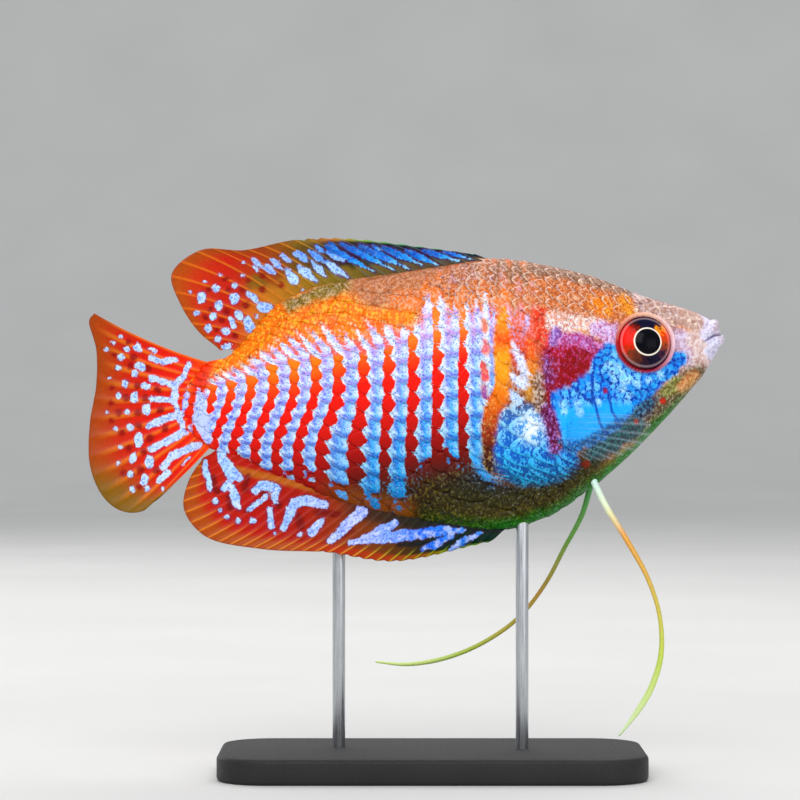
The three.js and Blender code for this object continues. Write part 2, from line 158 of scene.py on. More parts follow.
def cobbles(x, z, size, layer=0):  # distance from the borders of uneven cells, and each cell's own number
    u, v = x / size + 7.3 * layer, z / size + 3.1 * layer
    i, j = np.floor(u).astype(int), np.floor(v).astype(int)
    first, second, own = np.full(u.shape, 9.0), np.full(u.shape, 9.0), np.zeros(u.shape)
    for di in (-1, 0, 1):
        for dj in (-1, 0, 1):
            a, b = (i + di) % 256, (j + dj) % 256
            across = i + di + 0.2 + 0.6 * grainTable[a, b] - u
            up = j + dj + 0.2 + 0.6 * grainTable[b, a] - v
            away = np.hypot(across, up)
            closer = away < first
            second = np.where(closer, first, np.minimum(second, away))
            own = np.where(closer, grainTable[(a + 31) % 256, b], own)
            first = np.where(closer, away, first)
    return (second - first) * size / 2, own


def mixed(base, colour, mask):  # lays a colour, a hex value or one for each place, over the base
    colour = linear(colour) if isinstance(colour, str) else colour
    return base + (colour - base) * np.clip(mask, 0, 1)[..., None]


def ramp(value, stops):  # a colour for each value from [value, hex] stops
    places = [place for place, _ in stops]
    colours = np.array([linear(code) for _, code in stops])
    return np.stack([np.interp(value, places, colours[:, k]) for k in range(3)], axis=-1)


# The body's form, the same as the solids'

body = {
    "back": [
        [-26.2, 45.2], [-25.4, 47], [-24, 48.3], [-20.6, 49.7], [-16, 54.8], [-12.5, 57], [-6.5, 58.4],
        [4, 60], [9, 60.7], [13.5, 60.4], [18.2, 59.5], [22.4, 58.4], [27.5, 56.4],
        [33.4, 54.5], [35.5, 53.5], [37.1, 51.9],
    ],
    "belly": [
        [-26.2, 41.4], [-25.4, 39.7], [-24, 38.4], [-20, 37.1], [-12.5, 33.7], [-6.5, 31.5],
        [5, 29.1], [9.8, 28.5], [13.4, 28.9], [17, 30.2], [20.4, 32.4], [27.5, 38.7],
        [34.4, 46.3], [35.9, 48.6], [37.1, 50.7],
    ],
    "halfWidth": [
        [-26.2, 0.5], [-24, 1.1], [-18, 2.1], [-12, 3.2], [-5, 4.2], [3, 4.9], [10, 5.15],
        [16, 5.1], [22, 4.8], [28, 4], [32, 3.1], [35, 2.1], [37.1, 1.1],
    ],
    "widest": [[-26.2, 0.5], [-6, 0.56], [10, 0.58], [20, 0.5], [28, 0.5], [37.1, 0.5]],
    "backSharpness": [[-26.2, 1.3], [0, 1.25], [14, 1.15], [26, 0.95], [37.1, 0.85]],
    "bellySharpness": [[-26.2, 1.3], [0, 1.4], [12, 1.3], [24, 1.1], [37.1, 0.85]],
    "tailEnd": -26.2,
    "snout": 37.1,
}
backAt, bellyAt, halfWidthAt, widestAt, backSharpnessAt, bellySharpnessAt = (
    through(body[k]) for k in ("back", "belly", "halfWidth", "widest", "backSharpness", "bellySharpness"))


def section(x):
    top, bottom = backAt(x), bellyAt(x)
    return top, bottom, bottom + widestAt(x) * (top - bottom), halfWidthAt(x)


def bodyPoint(x, angle):  # angle 0 is the left flank, a quarter turn is the back
    top, bottom, middle, half = section(x)
    up, out = np.sin(angle), np.cos(angle)
    sharpness = np.where(up > 0, backSharpnessAt(x), bellySharpnessAt(x))
    reach = np.where(up > 0, top - middle, middle - bottom)
    return np.stack([x + 0 * angle, np.sign(out) * half * np.abs(out) ** sharpness, middle + reach * up], -1)


def angleAt(x, z):  # the section's angle at a height, on the left flank
    top, bottom, middle, _ = section(x)
    reach = np.where(z > middle, top - middle, middle - bottom)
    return np.arcsin(np.clip((z - middle) / reach, -1, 1))


def flankAt(x, z):
    return bodyPoint(x, angleAt(x, z))[..., 1]


def bodyNormal(x, angle):  # pointing outwards
    step = 1e-3
    along = bodyPoint(x + step, angle) - bodyPoint(x - step, angle)
    around = bodyPoint(x, angle + step) - bodyPoint(x, angle - step)
    normal = np.cross(around, along)
    normal /= np.maximum(np.linalg.norm(normal, axis=-1, keepdims=True), 1e-12)
    return normal


# Meshes

def clearSelection():
    for thing in bpy.context.selected_objects:
        thing.select_set(False)


def activate(piece):
    clearSelection()
    piece.select_set(True)
    bpy.context.view_layer.objects.active = piece


def named(name):  # names the primitive that was just added
    piece = bpy.context.active_object
    piece.name = piece.data.name = name
    return piece


def grid(name, columns, rows):  # a grid, with each vertex's share across and up
    clearSelection()
    bpy.ops.mesh.primitive_grid_add(x_subdivisions=columns, y_subdivisions=rows, size=1)
    piece = named(name)
    co = verticesOf(piece) * mm
    across, up = np.round((co[:, 0] + 0.5) * columns) / columns, np.round((co[:, 1] + 0.5) * rows) / rows
    return piece, across.astype(float), up.astype(float)


def added(name, data):  # a new object in the scene
    thing = bpy.data.objects.new(name, data)
    bpy.context.scene.collection.objects.link(thing)
    return thing


def place(piece, points):  # moves the vertices to points in millimetres
    piece.data.vertices.foreach_set("co", (points * mm).astype(np.float32).ravel())
    piece.data.update()


def verticesOf(piece):
    co = np.empty(len(piece.data.vertices) * 3, np.float32)
    piece.data.vertices.foreach_get("co", co)
    return co.reshape(-1, 3) / mm


def store(piece, name, values):  # a number or a colour for each vertex
    values = np.asarray(values, np.float32)
    colour = values.ndim == 2
    made = piece.data.attributes.new(name, "FLOAT_COLOR" if colour else "FLOAT", "POINT")
    if colour:
        values = np.hstack([values, np.ones((len(values), 1), np.float32)])
    made.data.foreach_set("color" if colour else "value", values.ravel())


def cornersOf(piece):  # the vertex at each corner of the faces
    corners = np.empty(len(piece.data.loops), np.int32)
    piece.data.loops.foreach_get("vertex_index", corners)
    return corners


def newMap(piece, name, perCorner):
    layer = piece.data.uv_layers.new(name=name)
    layer.data.foreach_set("uv", perCorner.astype(np.float32).ravel())


def bakeMap(piece, perVertex):  # the map that the export bakes through
    newMap(piece, "OFBake", perVertex[cornersOf(piece)])


outwards = (bpy.ops.mesh.normals_make_consistent, {"inside": False})


def edited(piece, *steps):  # runs edit-mode operators, each with its settings, on the whole piece
    activate(piece)
    bpy.ops.object.mode_set(mode="EDIT")
    bpy.ops.mesh.select_all(action="SELECT")
    for operator, settings in steps:
        operator(**settings)
    bpy.ops.object.mode_set(mode="OBJECT")


def applied(piece, kind, **settings):
    activate(piece)
    modifier = piece.modifiers.new(kind, kind)
    for key, value in settings.items():
        setattr(modifier, key, value)
    bpy.ops.object.modifier_apply(modifier=modifier.name)


def dressed(piece, material):  # smooth, and in its finish
    piece.data.polygons.foreach_set("use_smooth", np.ones(len(piece.data.polygons), bool))
    piece.data.materials.clear()
    piece.data.materials.append(material)


def finished(piece, material, slot, *replaced):  # dressed and riding on the model's one body
    dressed(piece, material)
    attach(piece, "root")
    if replaced:
        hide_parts(*replaced)


# Materials: each node is added by one function, with its settings and its inputs

def node(tree, kind, settings=None, *inputs, **named):
    # Inputs go to the open sockets in turn, or by name. Stops are a colour ramp's, as [place, hex].
    made = tree.nodes.new("ShaderNode" + kind)
    for key, value in (settings or {}).items():
        if key != "stops":
            setattr(made, key, value)
            continue
        for i, (at, code) in enumerate(value):
            stop = made.color_ramp.elements[i] if i < 2 else made.color_ramp.elements.new(at)
            stop.position = at
            stop.color = (*linear(code), 1)
    pairs = [*zip([socket for socket in made.inputs if socket.enabled], inputs)]
    pairs += [(made.inputs[key.replace("_", " ")], value) for key, value in named.items()]
    for socket, value in pairs:
        if isinstance(value, bpy.types.Node):
            value = next(output for output in value.outputs if output.enabled)
        if isinstance(value, bpy.types.NodeSocket):
            tree.links.new(value, socket)
        else:
            socket.default_value = (*linear(value), 1) if isinstance(value, str) else value
    return made


def newMaterial(name):
    material = bpy.data.materials.new(name)
    material.use_nodes = True
    tree = material.node_tree
    tree.nodes.clear()
    return material, tree


def paintedBase(tree, look):
    # Warm and cool colours part along the pattern's zero line; pigment specks darken both, and painted
    # glints, small painted highlights, lighten the cool colour.
    stored = {name: node(tree, "Attribute", {"attribute_name": name}).outputs
              for name in ("warm", "cool", "pattern", "specks", "mottle")}
    strength, mottle = stored["specks"]["Fac"], stored["mottle"]["Fac"]
    where = node(tree, "TexCoord").outputs["Object"]
    drawn = node(tree, "Mapping", Vector=where, Scale=(1.0, 1.0, 0.7))
    ragged = node(tree, "TexNoise", Vector=drawn, Scale=1 / (0.32 * mm), Detail=3.0, Roughness=0.65)
    swing = node(tree, "MapRange", {"clamp": False}, ragged, 0.35, 0.65, -1.0, 1.0)
    reach = node(tree, "MapRange", {}, mottle, 0.0, 1.0, look["ragged"], 0.5)
    shift = node(tree, "Math", {"operation": "MULTIPLY"}, swing, reach)
    edge = node(tree, "Math", {"operation": "ADD"}, stored["pattern"]["Fac"], shift)
    soft = node(tree, "MapRange", {}, mottle, 0.0, 1.0, look["crisp"], 0.3)
    part = node(tree, "Math", {"operation": "DIVIDE"}, edge, soft)
    mask = node(tree, "MapRange", {"interpolation_type": "SMOOTHSTEP"}, part, -1.0, 1.0, 0.0, 1.0)
    base = node(tree, "Mix", {"data_type": "RGBA"}, mask, stored["warm"]["Color"], stored["cool"]["Color"])
    grains = node(tree, "TexVoronoi", Vector=where, Scale=1 / (look["speckSize"] * mm), Randomness=1.0)
    chance = node(tree, "SeparateColor", {}, grains.outputs["Color"]).outputs
    warmSpecks = node(tree, "ValToRGB", {"stops": look["warmSpecks"]}, chance[0])
    coolSpecks = node(tree, "ValToRGB", {"stops": look["coolSpecks"]}, chance[0])
    dark = node(tree, "Mix", {"data_type": "RGBA"}, mask, warmSpecks, coolSpecks)
    base = node(tree, "Mix", {"data_type": "RGBA", "blend_type": "MULTIPLY"}, strength, base, dark)
    # Painted glints: small painted highlights, screened over the cool colour only
    glints = node(tree, "ValToRGB", {"stops": look["glints"]}, chance[1])
    lit = node(tree, "Math", {"operation": "MULTIPLY"}, strength, mask)
    return node(tree, "Mix", {"data_type": "RGBA", "blend_type": "SCREEN"}, lit, base, glints), where


# The lattice of scales and stripes on the flanks

lattice = {
    # [x, stripe number] at mid height; whole numbers are the middles of the red stripes
    "stripes": [
        [-26.2, 12.6], [-22.75, 11], [-20.6, 10], [-18.3, 9], [-15.7, 8], [-13.2, 7], [-10.7, 6],
        [-8.1, 5], [-5.1, 4], [-2.2, 3], [0.66, 2], [3.45, 1], [6.5, 0], [9, -1], [11, -2], [14.5, -3],
        [17.5, -4], [20.5, -5],
    ],
    "bendBelow": [[-26, 2.2], [-10, 2.1], [-7.5, 1.5], [-4.5, 0.6], [-1, 0.4], [2, 0.1], [8, 0], [15, 0]],
    "bendFrom": 45.7,
    "bendReach": 9.1,
    "slant": [[-26, 0.8], [-14, 0.75], [-9, 0.6], [-5, 0.5], [-1, 0.25], [2, 0.06], [12, 0.1]],
    "slantFrom": [[-26, 44.5], [-18.6, 46.4], [-14.9, 47.8], [-8, 49], [0, 50.5], [12, 52.5]],
    "breastFrom": 39.5, "breastBend": 0.25, "breastMost": 6.5,
    "midLine": [[-26, 43.3], [-14, 44.2], [-7.7, 44.5], [0, 44.7], [4.3, 45.2], [17, 46]],
    "rowHeight": [[-26, 1.3], [-18, 1.5], [-10.6, 1.68], [-7.7, 1.95], [-2.2, 2.2], [3.3, 2.42], [20, 2.45]],
    "firstEdge": -0.25,
}
stripeOf, bendAt, slantAt, slantFromAt, midLineAt, rowHeightAt = (
    through(lattice[k]) for k in ("stripes", "bendBelow", "slant", "slantFrom", "midLine", "rowHeight"))


def leanAt(x, z):  # how far tailwards a stripe stands at a height, from its place at mid height
    below = bendAt(x) * ease(0, 0.85, (lattice["bendFrom"] - z) / lattice["bendReach"])
    above = slantAt(x) * np.maximum(0, z - slantFromAt(x))
    breast = lattice["breastBend"] * np.maximum(0, lattice["breastFrom"] - z) ** 2
    return below + above - np.minimum(breast, lattice["breastMost"]) * ease(2, 16, x)


def stripeAt(x, z):
    return stripeOf(x + leanAt(x, z))


def rowAt(x, z):
    return (z - midLineAt(x)) / rowHeightAt(x)


stripeTable = np.linspace(body["tailEnd"], lattice["stripes"][-1][0], 800)


def latticePlace(stripe, row):  # the place in side view of a lattice coordinate
    home = np.interp(-stripe, -stripeOf(stripeTable), stripeTable)
    x = home.copy()
    for _ in range(16):
        z = midLineAt(x) + row * rowHeightAt(x)
        x = 0.5 * x + 0.5 * (home - leanAt(x, z))
    return x, midLineAt(x) + row * rowHeightAt(x)


napeLowAt = through([[9, 55.4], [13, 54.6], [17, 53.4], [21, 53.2], [25, 54.4], [29, 55.6]])


# The striped flanks: red stripes notched by pale triangles, pale stripes of two columns of scales
flank = {
    "pitch": 2.8,
    "neck": [[-26, 0.17], [-6, 0.15], [4, 0.1]],  # half widths of the red stripes, in stripe pitches
    "bulge": [[-26, 0.4], [-6, 0.38], [4, 0.35]],
    "tailSide": 0.18, "tailWave": 0.045, "leaf": 0.175, "frontLeaf": 0.225, "leavesTo": 1.5,
    "notchAt": [[-26, 0.45], [-6, 0.45], [2, 0.62], [15, 0.68]],
    "redTop": [[-26, 45.2], [-18.5, 46.6], [-15.5, 48.2], [-10.6, 48.8], [-4, 49.2], [-2, 49.8], [0, 51],
               [1.5, 54], [3, 57], [15, 57]],
    "paleTop": [[-26.2, 46.4], [-22.6, 48.2], [-19.6, 49.3], [-16.8, 50.4], [-15.3, 51.2], [-12.6, 52.1],
                [-9.5, 52.7], [-5.5, 53.5], [-1.6, 54.3], [0.8, 54.8], [3, 56.2], [9, 56.5], [14.5, 55.2]],
    "paleLow": [[-26, 34], [-14, 33.6], [-11.3, 34], [-8.7, 32.6], [-4.8, 31.4], [-1.7, 30.8], [0.5, 32],
                [2.2, 35.8], [4.5, 36.6], [6, 36], [7.4, 35.6], [9, 33], [14, 32]],
    "darkBelow": [[-26, 34], [-14, 35], [-7, 37], [0, 38.5], [6, 40], [12, 41]],
    "front": 15.2,
}
notchAt, redTopAt, paleTopAt, paleLowAt, darkBelowAt, neckAt, bulgeAt = (
    through(flank[k]) for k in ("notchAt", "redTop", "paleTop", "paleLow", "darkBelow", "neck", "bulge"))


def wave(value):  # a triangle wave from 0 at whole numbers to 1 half way between
    return 1 - np.abs(1 - 2 * (value - np.floor(value)))


def hashed(a, b):  # a steady number from 0 to 1 for each pair of whole numbers
    return grainTable[np.int64(a * 7 + b * 3) % 256, np.int64(a * 5 - b * 11) % 256]


def columnOf(stripe):  # a column of scales, two to a stripe, and the distance from its middle in pitches
    column = np.floor(2 * stripe + 0.02)
    return column, np.abs(stripe - (column + 0.5) / 2)


def flankPaint(x, z):  # warm and cool colours, the line between them and the mottling, for the striped flanks
    stripe, row = stripeAt(x, z), rowAt(x, z)
    whole = np.round(stripe)
    off = stripe - whole  # towards the tail is positive
    notch, phase = notchAt(x), row - np.floor(row)
    bead = np.minimum(phase / notch, (1 - phase) / (1 - notch))  # 0 at a pale tip, 1 at a red bulge
    uneven = 0.8 + 0.4 * hashed(whole, np.floor(row - notch))
    headSide = neckAt(x) + (bulgeAt(x) * uneven - neckAt(x)) * bead
    tailSide = flank["tailSide"] + flank["tailWave"] * (2 * bead - 1) * ease(8, -4, x)
    rise = (z - redTopAt(x)) / np.maximum(paleTopAt(x) - redTopAt(x), 1.5)
    shut = ease(-0.1, 0.3, rise)
    orangeTop = ease(47.5, 51.5, z) * ease(-1, 2, x)
    headSide, tailSide = (
        side * (1 - shut) * (1 - 0.35 * orangeTop) + 0.035 * shut for side in (headSide, tailSide))
    pattern = np.maximum(-off - headSide, off - tailSide) * flank["pitch"]
    pattern = np.where(whole <= -1, 0.4, pattern)

    # Above, each column of pale scales runs out in a slanting leaf, with pink seams between the leaves
    column, middle = columnOf(stripe)
    leafTop = rise - 0.45 * (hashed(column, 1) - 0.5)
    leaf = flank["leaf"] * ease(1.15, 0.3, leafTop) - middle
    ahead = x > flank["leavesTo"]
    leaf = np.where(ahead, flank["frontLeaf"] - middle, leaf) - 3 * ease(0.9, 1.2, leafTop) * ahead
    high = ease(-0.05, 0.15, np.where(ahead, (z - 50.6) / 5, rise))
    pattern = np.minimum(pattern, leaf * flank["pitch"] + 9 * (1 - high))
    pattern = pattern - 2 * ease(1.0, 1.25, leafTop)

    # Below, the pale scales part and stop above the belly
    low = paleLowAt(x) - z
    across = 2 * stripe - np.round(2 * stripe + 0.25) + 0.25
    scale = np.hypot(0.55 * across, wave(row + 0.5 * (column % 2)) * 0.7)
    parted = 0.38 - scale + 0.3 * wander(x, z, 0.6, 6)
    pattern = np.minimum(pattern, parted + 1.4 * ease(1.5, 4.5, z - paleLowAt(x)) + 4 * ease(-0.5, 1.5, rise))
    pattern = pattern - 2 * ease(-0.4, 0.9, low + 0.8 * wander(x, z, 1.0, 5))

    depth = z - darkBelowAt(x)
    warm = ramp(depth, [[-7.5, "#141006"], [-5, "#381a04"], [-2.5, "#6c0a00"], [0, "#9c0400"], [3, "#d00c00"],
                        [8.5, "#ff1400"], [10.5, "#ff4400"], [12.5, "#ff7c00"], [17, "#f08a20"]])
    warm = mixed(warm, "#b40a00", ease(-6, -14, x) * ease(3, -2, depth) * 0.9)
    warm = mixed(warm, "#9a4a04", 0.8 * ease(-12, -6, x) * ease(3.2, 0.9, z - bellyAt(x)) * ease(2, 0, x))
    orange = ease(-3.2, -0.8, z - paleTopAt(x) + 0.8 * wander(x, z, 0.9, 4))
    warm = mixed(warm, "#ff7800", 0.95 * orange)
    warm = mixed(warm, "#ff3400", 0.6 * ease(0.5, 0.75, grain(x + 0.4 * z, 0.6 * z, 1.0, 14)) * orange)
    seamed = ease(0.0, 0.15, rise) * ease(0.6, 0.3, rise) * (1 - ahead)
    seamed = seamed + ease(50, 52, z) * (np.abs(off) > 0.3) * ahead
    warm = mixed(warm, "#ea5868", 0.8 * seamed)

    # Each pale stripe: white triangles on its tail side, a violet seam, then blue-white lobes
    share = stripe - np.floor(stripe)
    seam = 0.5 + 0.12 * bead
    cool = ramp(depth, [[-6, "#0c84c8"], [-3, "#10a0e4"], [0, "#2cb0f0"], [4, "#60c0fa"], [8, "#98ccff"],
                        [12, "#ccd4ff"], [16, "#eee0ff"]])
    cool = mixed(cool, "#c4ceff", 0.5 * ease(-4, -13, x))
    tips = ease(0.0, 0.1, share - seam) * ease(-6, -1, depth)
    lobes = ease(0.4, 0.26, share) * ease(0.15, 0.75, wave(row + 0.35)) * ease(-6, -1, depth)
    bright = ramp(depth, [[-5, "#5cd4fc"], [0, "#b8ecff"], [5, "#f0faff"]])
    cool = mixed(cool, bright, 0.85 * np.maximum(tips, 0.8 * lobes))
    net = ease(0.3, 0.12, wave(row + 0.35)) * ease(0.62, 0.5, share)
    net = np.maximum(ease(0.07, 0.01, np.abs(share - seam)), net)
    violet = ramp(depth, [[-3, "#1458b0"], [3, "#4468d8"], [8, "#8a7ce8"], [12, "#b884e4"], [15, "#e090d0"]])
    cool = mixed(cool, violet, 0.8 * net * ease(-7, -3, depth))
    cool = mixed(cool, "#f08cc4", 0.5 * high * ease(0.14, 0.21, middle))

    # Orange flesh with yellow grains between the leaves, and olive grains in the dark flesh over the belly
    wedge = ease(-0.02, -0.12, leaf) * ease(0.2, 0.5, rise) * (x < 3)
    cool = mixed(cool, "#ffb41c", wedge)
    dim = ease(-1.5, -4.5, depth) * ease(-8, -4, x) * ease(-0.15, -0.4, pattern)
    cool = mixed(cool, "#6c5a14", dim)
    pattern = np.where(wedge > 0, np.clip(pattern, -0.22, -0.14), pattern) * (1 - dim) - 0.22 * dim
    mottled = np.maximum(wedge, dim)

    # Towards the head: pink lenses, an amber stripe, a pale zigzag and a brown stripe
    front = ease(10.1, 10.5, x)
    warm = mixed(warm, ramp(z, [[43, "#8a4a2c"], [47, "#b84418"], [50, "#e0441c"], [54, "#ec6c48"]]), front)
    cool = mixed(cool, ramp(z, [[43, "#b8a8a0"], [46.5, "#c8a088"], [49, "#cc7090"], [54, "#eaa4b4"]]), front)
    pattern = pattern + (-0.1 - pattern) * front
    mottled = np.maximum(mottled, front)
    for line, reach, tones, kind in frontStrokes:
        inside = stroked(line, reach, x, z)
        if kind > 0:
            cool = mixed(cool, ramp(z, tones), ease(-0.05, 0.1, inside))
            pattern = np.maximum(pattern, inside + 0.06)
        else:
            mask = ease(-0.25, 0.02, inside)
            warm = mixed(warm, ramp(z, tones), mask)
            cool = mixed(cool, mixed(ramp(z, tones), "#ffd878", np.full(z.shape, 0.3)), mask)
            pattern = np.minimum(pattern, np.maximum(-inside - 0.02, -0.17))
        mottled = mottled + ((0.5 if kind < 0 else 0) - mottled) * ease(-0.15, 0.1, inside)
    return warm, cool, pattern, mottled


frontStrokes = [  # [line, half widths in photo pixels, colours by height, 1 for pale or -1 for flesh]
    [[(529, 342), (531, 356), (533, 372), (531, 386), (529, 398), (527, 409)], [4, 4.5, 4, 4.5, 4.5, 3],
     [[43, "#8a5010"], [45.5, "#d88a08"], [47.5, "#e07810"], [50, "#f04c10"]], -1],
    [[(512, 345), (519, 357), (525, 372), (525, 386)], [2.5, 4.5, 4.5, 3],
     [[46, "#e4f0ff"], [51, "#f6f0ff"]], 1],
    [[(508, 373), (516, 379), (523, 386)], [1.6, 4, 5], [[46, "#e4f0ff"], [51, "#f6f0ff"]], 1],
    [[(505, 388), (513, 395), (520, 402), (521, 415)], [2, 5, 5.5, 3], [[42, "#a8d8f8"], [46, "#e4f0ff"]], 1],
    [[(503, 310), (502.4, 322), (502.4, 338), (501.5, 363), (502, 384), (499, 398), (496, 411), (491, 426),
      (489.8, 447), (489, 468)], [3, 5, 8.5, 7, 6.5, 8, 12, 9, 7, 6],
     [[36, "#28100a"], [38.5, "#5c1808"], [40.5, "#a02c04"], [42.5, "#d85800"], [44.5, "#f07400"],
      [47, "#ff9c04"], [49, "#ffa410"], [51, "#ff5208"], [53.5, "#ffa014"]], -1],
    [[(485, 341), (486, 351)], [1.5, 3.6], [[48, "#f03c48"], [52, "#f088a8"]], -1],
    [[(483, 365), (485, 378)], [2.5, 3], [[45, "#f04868"], [48, "#e85058"]], -1],
    [[(483.5, 386), (485, 396)], [2.2, 2.5], [[44, "#8048a0"], [46, "#b860b0"]], -1],
    [[(484, 321), (485, 329)], [2, 2.5], [[52, "#f07060"], [54, "#f0a090"]], -1],
    [[(509, 311), (510, 332)], [1.6, 2], [[52, "#e4d4ff"], [54, "#ecdcff"]], 1],
    [[(529, 309), (526, 330)], [1.6, 2], [[52, "#e0c4f4"], [54, "#e8d0f8"]], 1],
    [[(544, 352), (544, 376), (546, 400)], [2.6, 3.2, 2.2], [[43, "#a898d0"], [50, "#b4a4e8"]], 1],
    [[(474, 455), (480, 470), (492, 482), (508, 490)], [4, 4, 4, 3], [[33, "#1c90e0"], [37, "#40b4f4"]], 1],
]


# Patches of colour over the skin, by places in the photo, drawn in this order:
# [line, half width, softness, warm colour, cool colour, pattern: more of the cool one where it is higher]
patches = [
    # The back, from the tail fin to the nape
    [[(185, 368), (232, 346), (285, 312), (330, 300), (372, 300), (402, 308)],
     1.9, 1.2, "#ff7000", "#ffb41c", -0.13],
    [[(290, 303), (320, 291), (352, 282)], 0.6, 0.9, "#8a7018", "#c4a478", -0.1],
    [[(372, 284), (430, 283), (484, 284), (524, 282)], 2.2, 1.2, "#c07040", "#d6946c", -0.08],
    [[(470, 266), (500, 267), (530, 272)], 0.9, 0.9, "#a86440", "#d8a890", -0.08],
    [[(400, 300), (440, 298), (500, 300)], 0.9, 0.9, "#ee7412", "#e8a47c", -0.12],
    # The nape
    [[(530, 275), (590, 292), (640, 305)], 2.6, 1.2, "#cc6a30", "#e89c68", -0.15],
    [[(500, 266), (560, 271), (615, 284), (650, 298)], 0.6, 0.6, "#8c6044", "#b88c70", -0.1],
    [[(598, 304), (606, 308)], 0.7, 0.8, "#f07c14", "#ffa428", -0.1],
    [[(626, 302), (632, 312)], 0.55, 0.7, "#f08a1c", "#ffae30", -0.1],
    [[(541, 318), (545, 340)], 0.8, 0.8, "#f03818", "#f88058", -0.2],
    # Cream and pink behind the eye
    [[(554, 322), (575, 324), (596, 327)], 0.9, 0.7, "#eea48c", "#fcece0", 0.05],
    [[(576, 334), (584, 336)], 0.35, 0.5, "#f0a040", "#fbd890", 0.0],
    [[(600, 330), (612, 332), (611, 342)], 0.8, 0.6, "#cc84bc", "#eac8e8", 0.08],
    [[(558, 342), (576, 342), (596, 350)], 0.9, 0.6, "#b83c84", "#d88cd0", -0.08],
    [[(556, 333), (552, 345)], 0.4, 0.5, "#8a50b0", "#c4a0e0", 0.0],
    # Crimson behind the gill cover's blue
    [[(552, 356), (572, 354), (590, 360)], 1.0, 0.5, "#a80410", "#c84088", -0.12],
    [[(576, 364), (568, 376), (556, 388), (552, 396)], 1.6, 0.4, "#940004", "#b82860", -0.25],
    [[(553, 362), (555, 372)], 0.45, 0.4, "#9c0c24", "#b05090", -0.2],
    [[(546, 360), (548, 382)], 0.4, 0.4, "#801c50", "#a870c0", -0.1],
    # Snout, upper lip, lower lip and chin
    [[(650, 304), (682, 315), (700, 324)], 1.3, 0.9, "#b08078", "#d8b4a8", 0.0],
    [[(640, 296), (652, 300)], 0.5, 0.5, "#d8a8a0", "#f4e4dc", 0.1],
    [[(684, 328), (692, 326)], 0.5, 0.5, "#d87830", "#eca868", 0.0],
    [[(681, 340), (690, 345), (692, 358)], 1.0, 0.7, "#c09cb4", "#e0cce0", 0.05],
    [[(697, 340), (703, 354), (699, 368)], 0.9, 0.7, "#cca098", "#e8d4d0", 0.05],
    [[(707, 322), (709, 334)], 0.8, 0.35, "#b4a4c0", "#e4dcf0", 0.25],
    [[(714, 338), (718, 346), (712, 352)], 0.75, 0.35, "#b0a8c4", "#dcd8ec", 0.25],
    # Jaw and throat
    [[(699, 378), (684, 392), (664, 408), (640, 428)], 1.3, 1.0, "#5c4428", "#a0906c", -0.1],
    [[(648, 400), (632, 420), (612, 442)], 0.8, 0.9, "#20284c", "#3c7c9c", -0.05],
    [[(678, 384), (668, 390)], 0.6, 0.7, "#747024", "#b0b060", 0.0],
    [[(696, 374), (684, 388)], 0.4, 0.6, "#c87838", "#e8b078", 0.0],
    [[(596, 452), (616, 440), (636, 428)], 0.8, 0.9, "#06202c", "#14645c", -0.1],
    # Brown grains before the root of the pectoral fin
    [[(536, 378), (538, 392), (540, 408)], 0.5, 0.5, "#7c4c28", "#d0b8a8", 0.0],
]
patches = [[seen(places, -4), *rest] for places, *rest in patches]
spots = [  # [place in the photo, radius, colour]
    [(605, 391), 0.26, "#a8142c"], [(664, 401), 0.32, "#c82c14"], [(637, 422), 0.27, "#a02818"],
    [(586, 464), 0.5, "#8a2c10"], [(674, 322.5), 0.3, "#f8dcc4"], [(690.5, 320), 0.2, "#f4dcc8"],
    [(697, 324), 0.2, "#f4dcc8"], [(660, 307), 0.18, "#f4d8c4"], [(637, 309.5), 0.24, "#f8dcc0"],
    [(576, 297), 0.24, "#f8c8a0"], [(583, 281), 0.2, "#f0c8a8"],
]
glows = [  # the palest scales of the cheek and the gill cover
    (608, 364), (612, 374), (617, 366), (614, 379), (621, 372), (622, 383), (628, 381), (622, 389),
    (629, 396), (637, 384), (648, 380), (660, 374), (561, 404), (564, 410), (576, 403), (579, 412),
    (598, 402),
]
cheek = {
    "blue": seen([
        (604, 344), (597, 354), (592, 364), (584, 375), (573, 384), (561, 388), (550, 394), (551, 408),
        (555, 420), (559, 436), (562, 450), (574, 450), (592, 444), (606, 438), (619, 428), (631, 415),
        (637, 404), (652, 393), (667, 380), (681, 369), (689, 357), (683, 350), (674, 352), (645, 345),
    ], -4),
    "cyan": seen([(556, 408), (572, 408), (590, 404), (604, 402), (622, 404), (634, 404), (627, 415),
                  (615, 428), (600, 436), (578, 440), (564, 438)], -4),
    "deep": seen([(560, 452), (576, 449), (600, 438), (622, 424)], -4),
    "scales": [[22.2, 50.8], [23.2, 48.6], [24.4, 46.9], [27, 45.9], [30, 46.6], [33, 48.6]],
    "reach": 1.05,
}
breast = {
    "outline": seen([
        (499, 414), (512, 405), (530, 402), (541, 403), (548, 415), (553, 438), (560, 450), (576, 452),
        (582, 462), (565, 478), (545, 487), (522, 487), (505, 481), (495, 468), (494, 445), (496, 425),
    ], -4.5),
    # the middle of a painted highlight on the breast
    "paintedGleam": seen((532, 428), -4.5),
}
gillGrooves = [seen(line, -4) for line in (
    [(592, 374), (592, 392), (595, 405), (600, 424), (607, 434)],
    [(572, 386), (583, 396), (592, 404)],
    [(609, 396), (612, 412), (620, 424)],
)]
rimColours = [  # round the eye, from the tail's side over the belly's, the snout's and the back's
    [0, "#a81420"], [0.12, "#98081c"], [0.3, "#901030"], [0.38, "#c87890"], [0.5, "#ecc8d4"],
    [0.62, "#f0c4c0"], [0.75, "#f4bca0"], [0.88, "#e89078"], [1, "#b41424"],
]


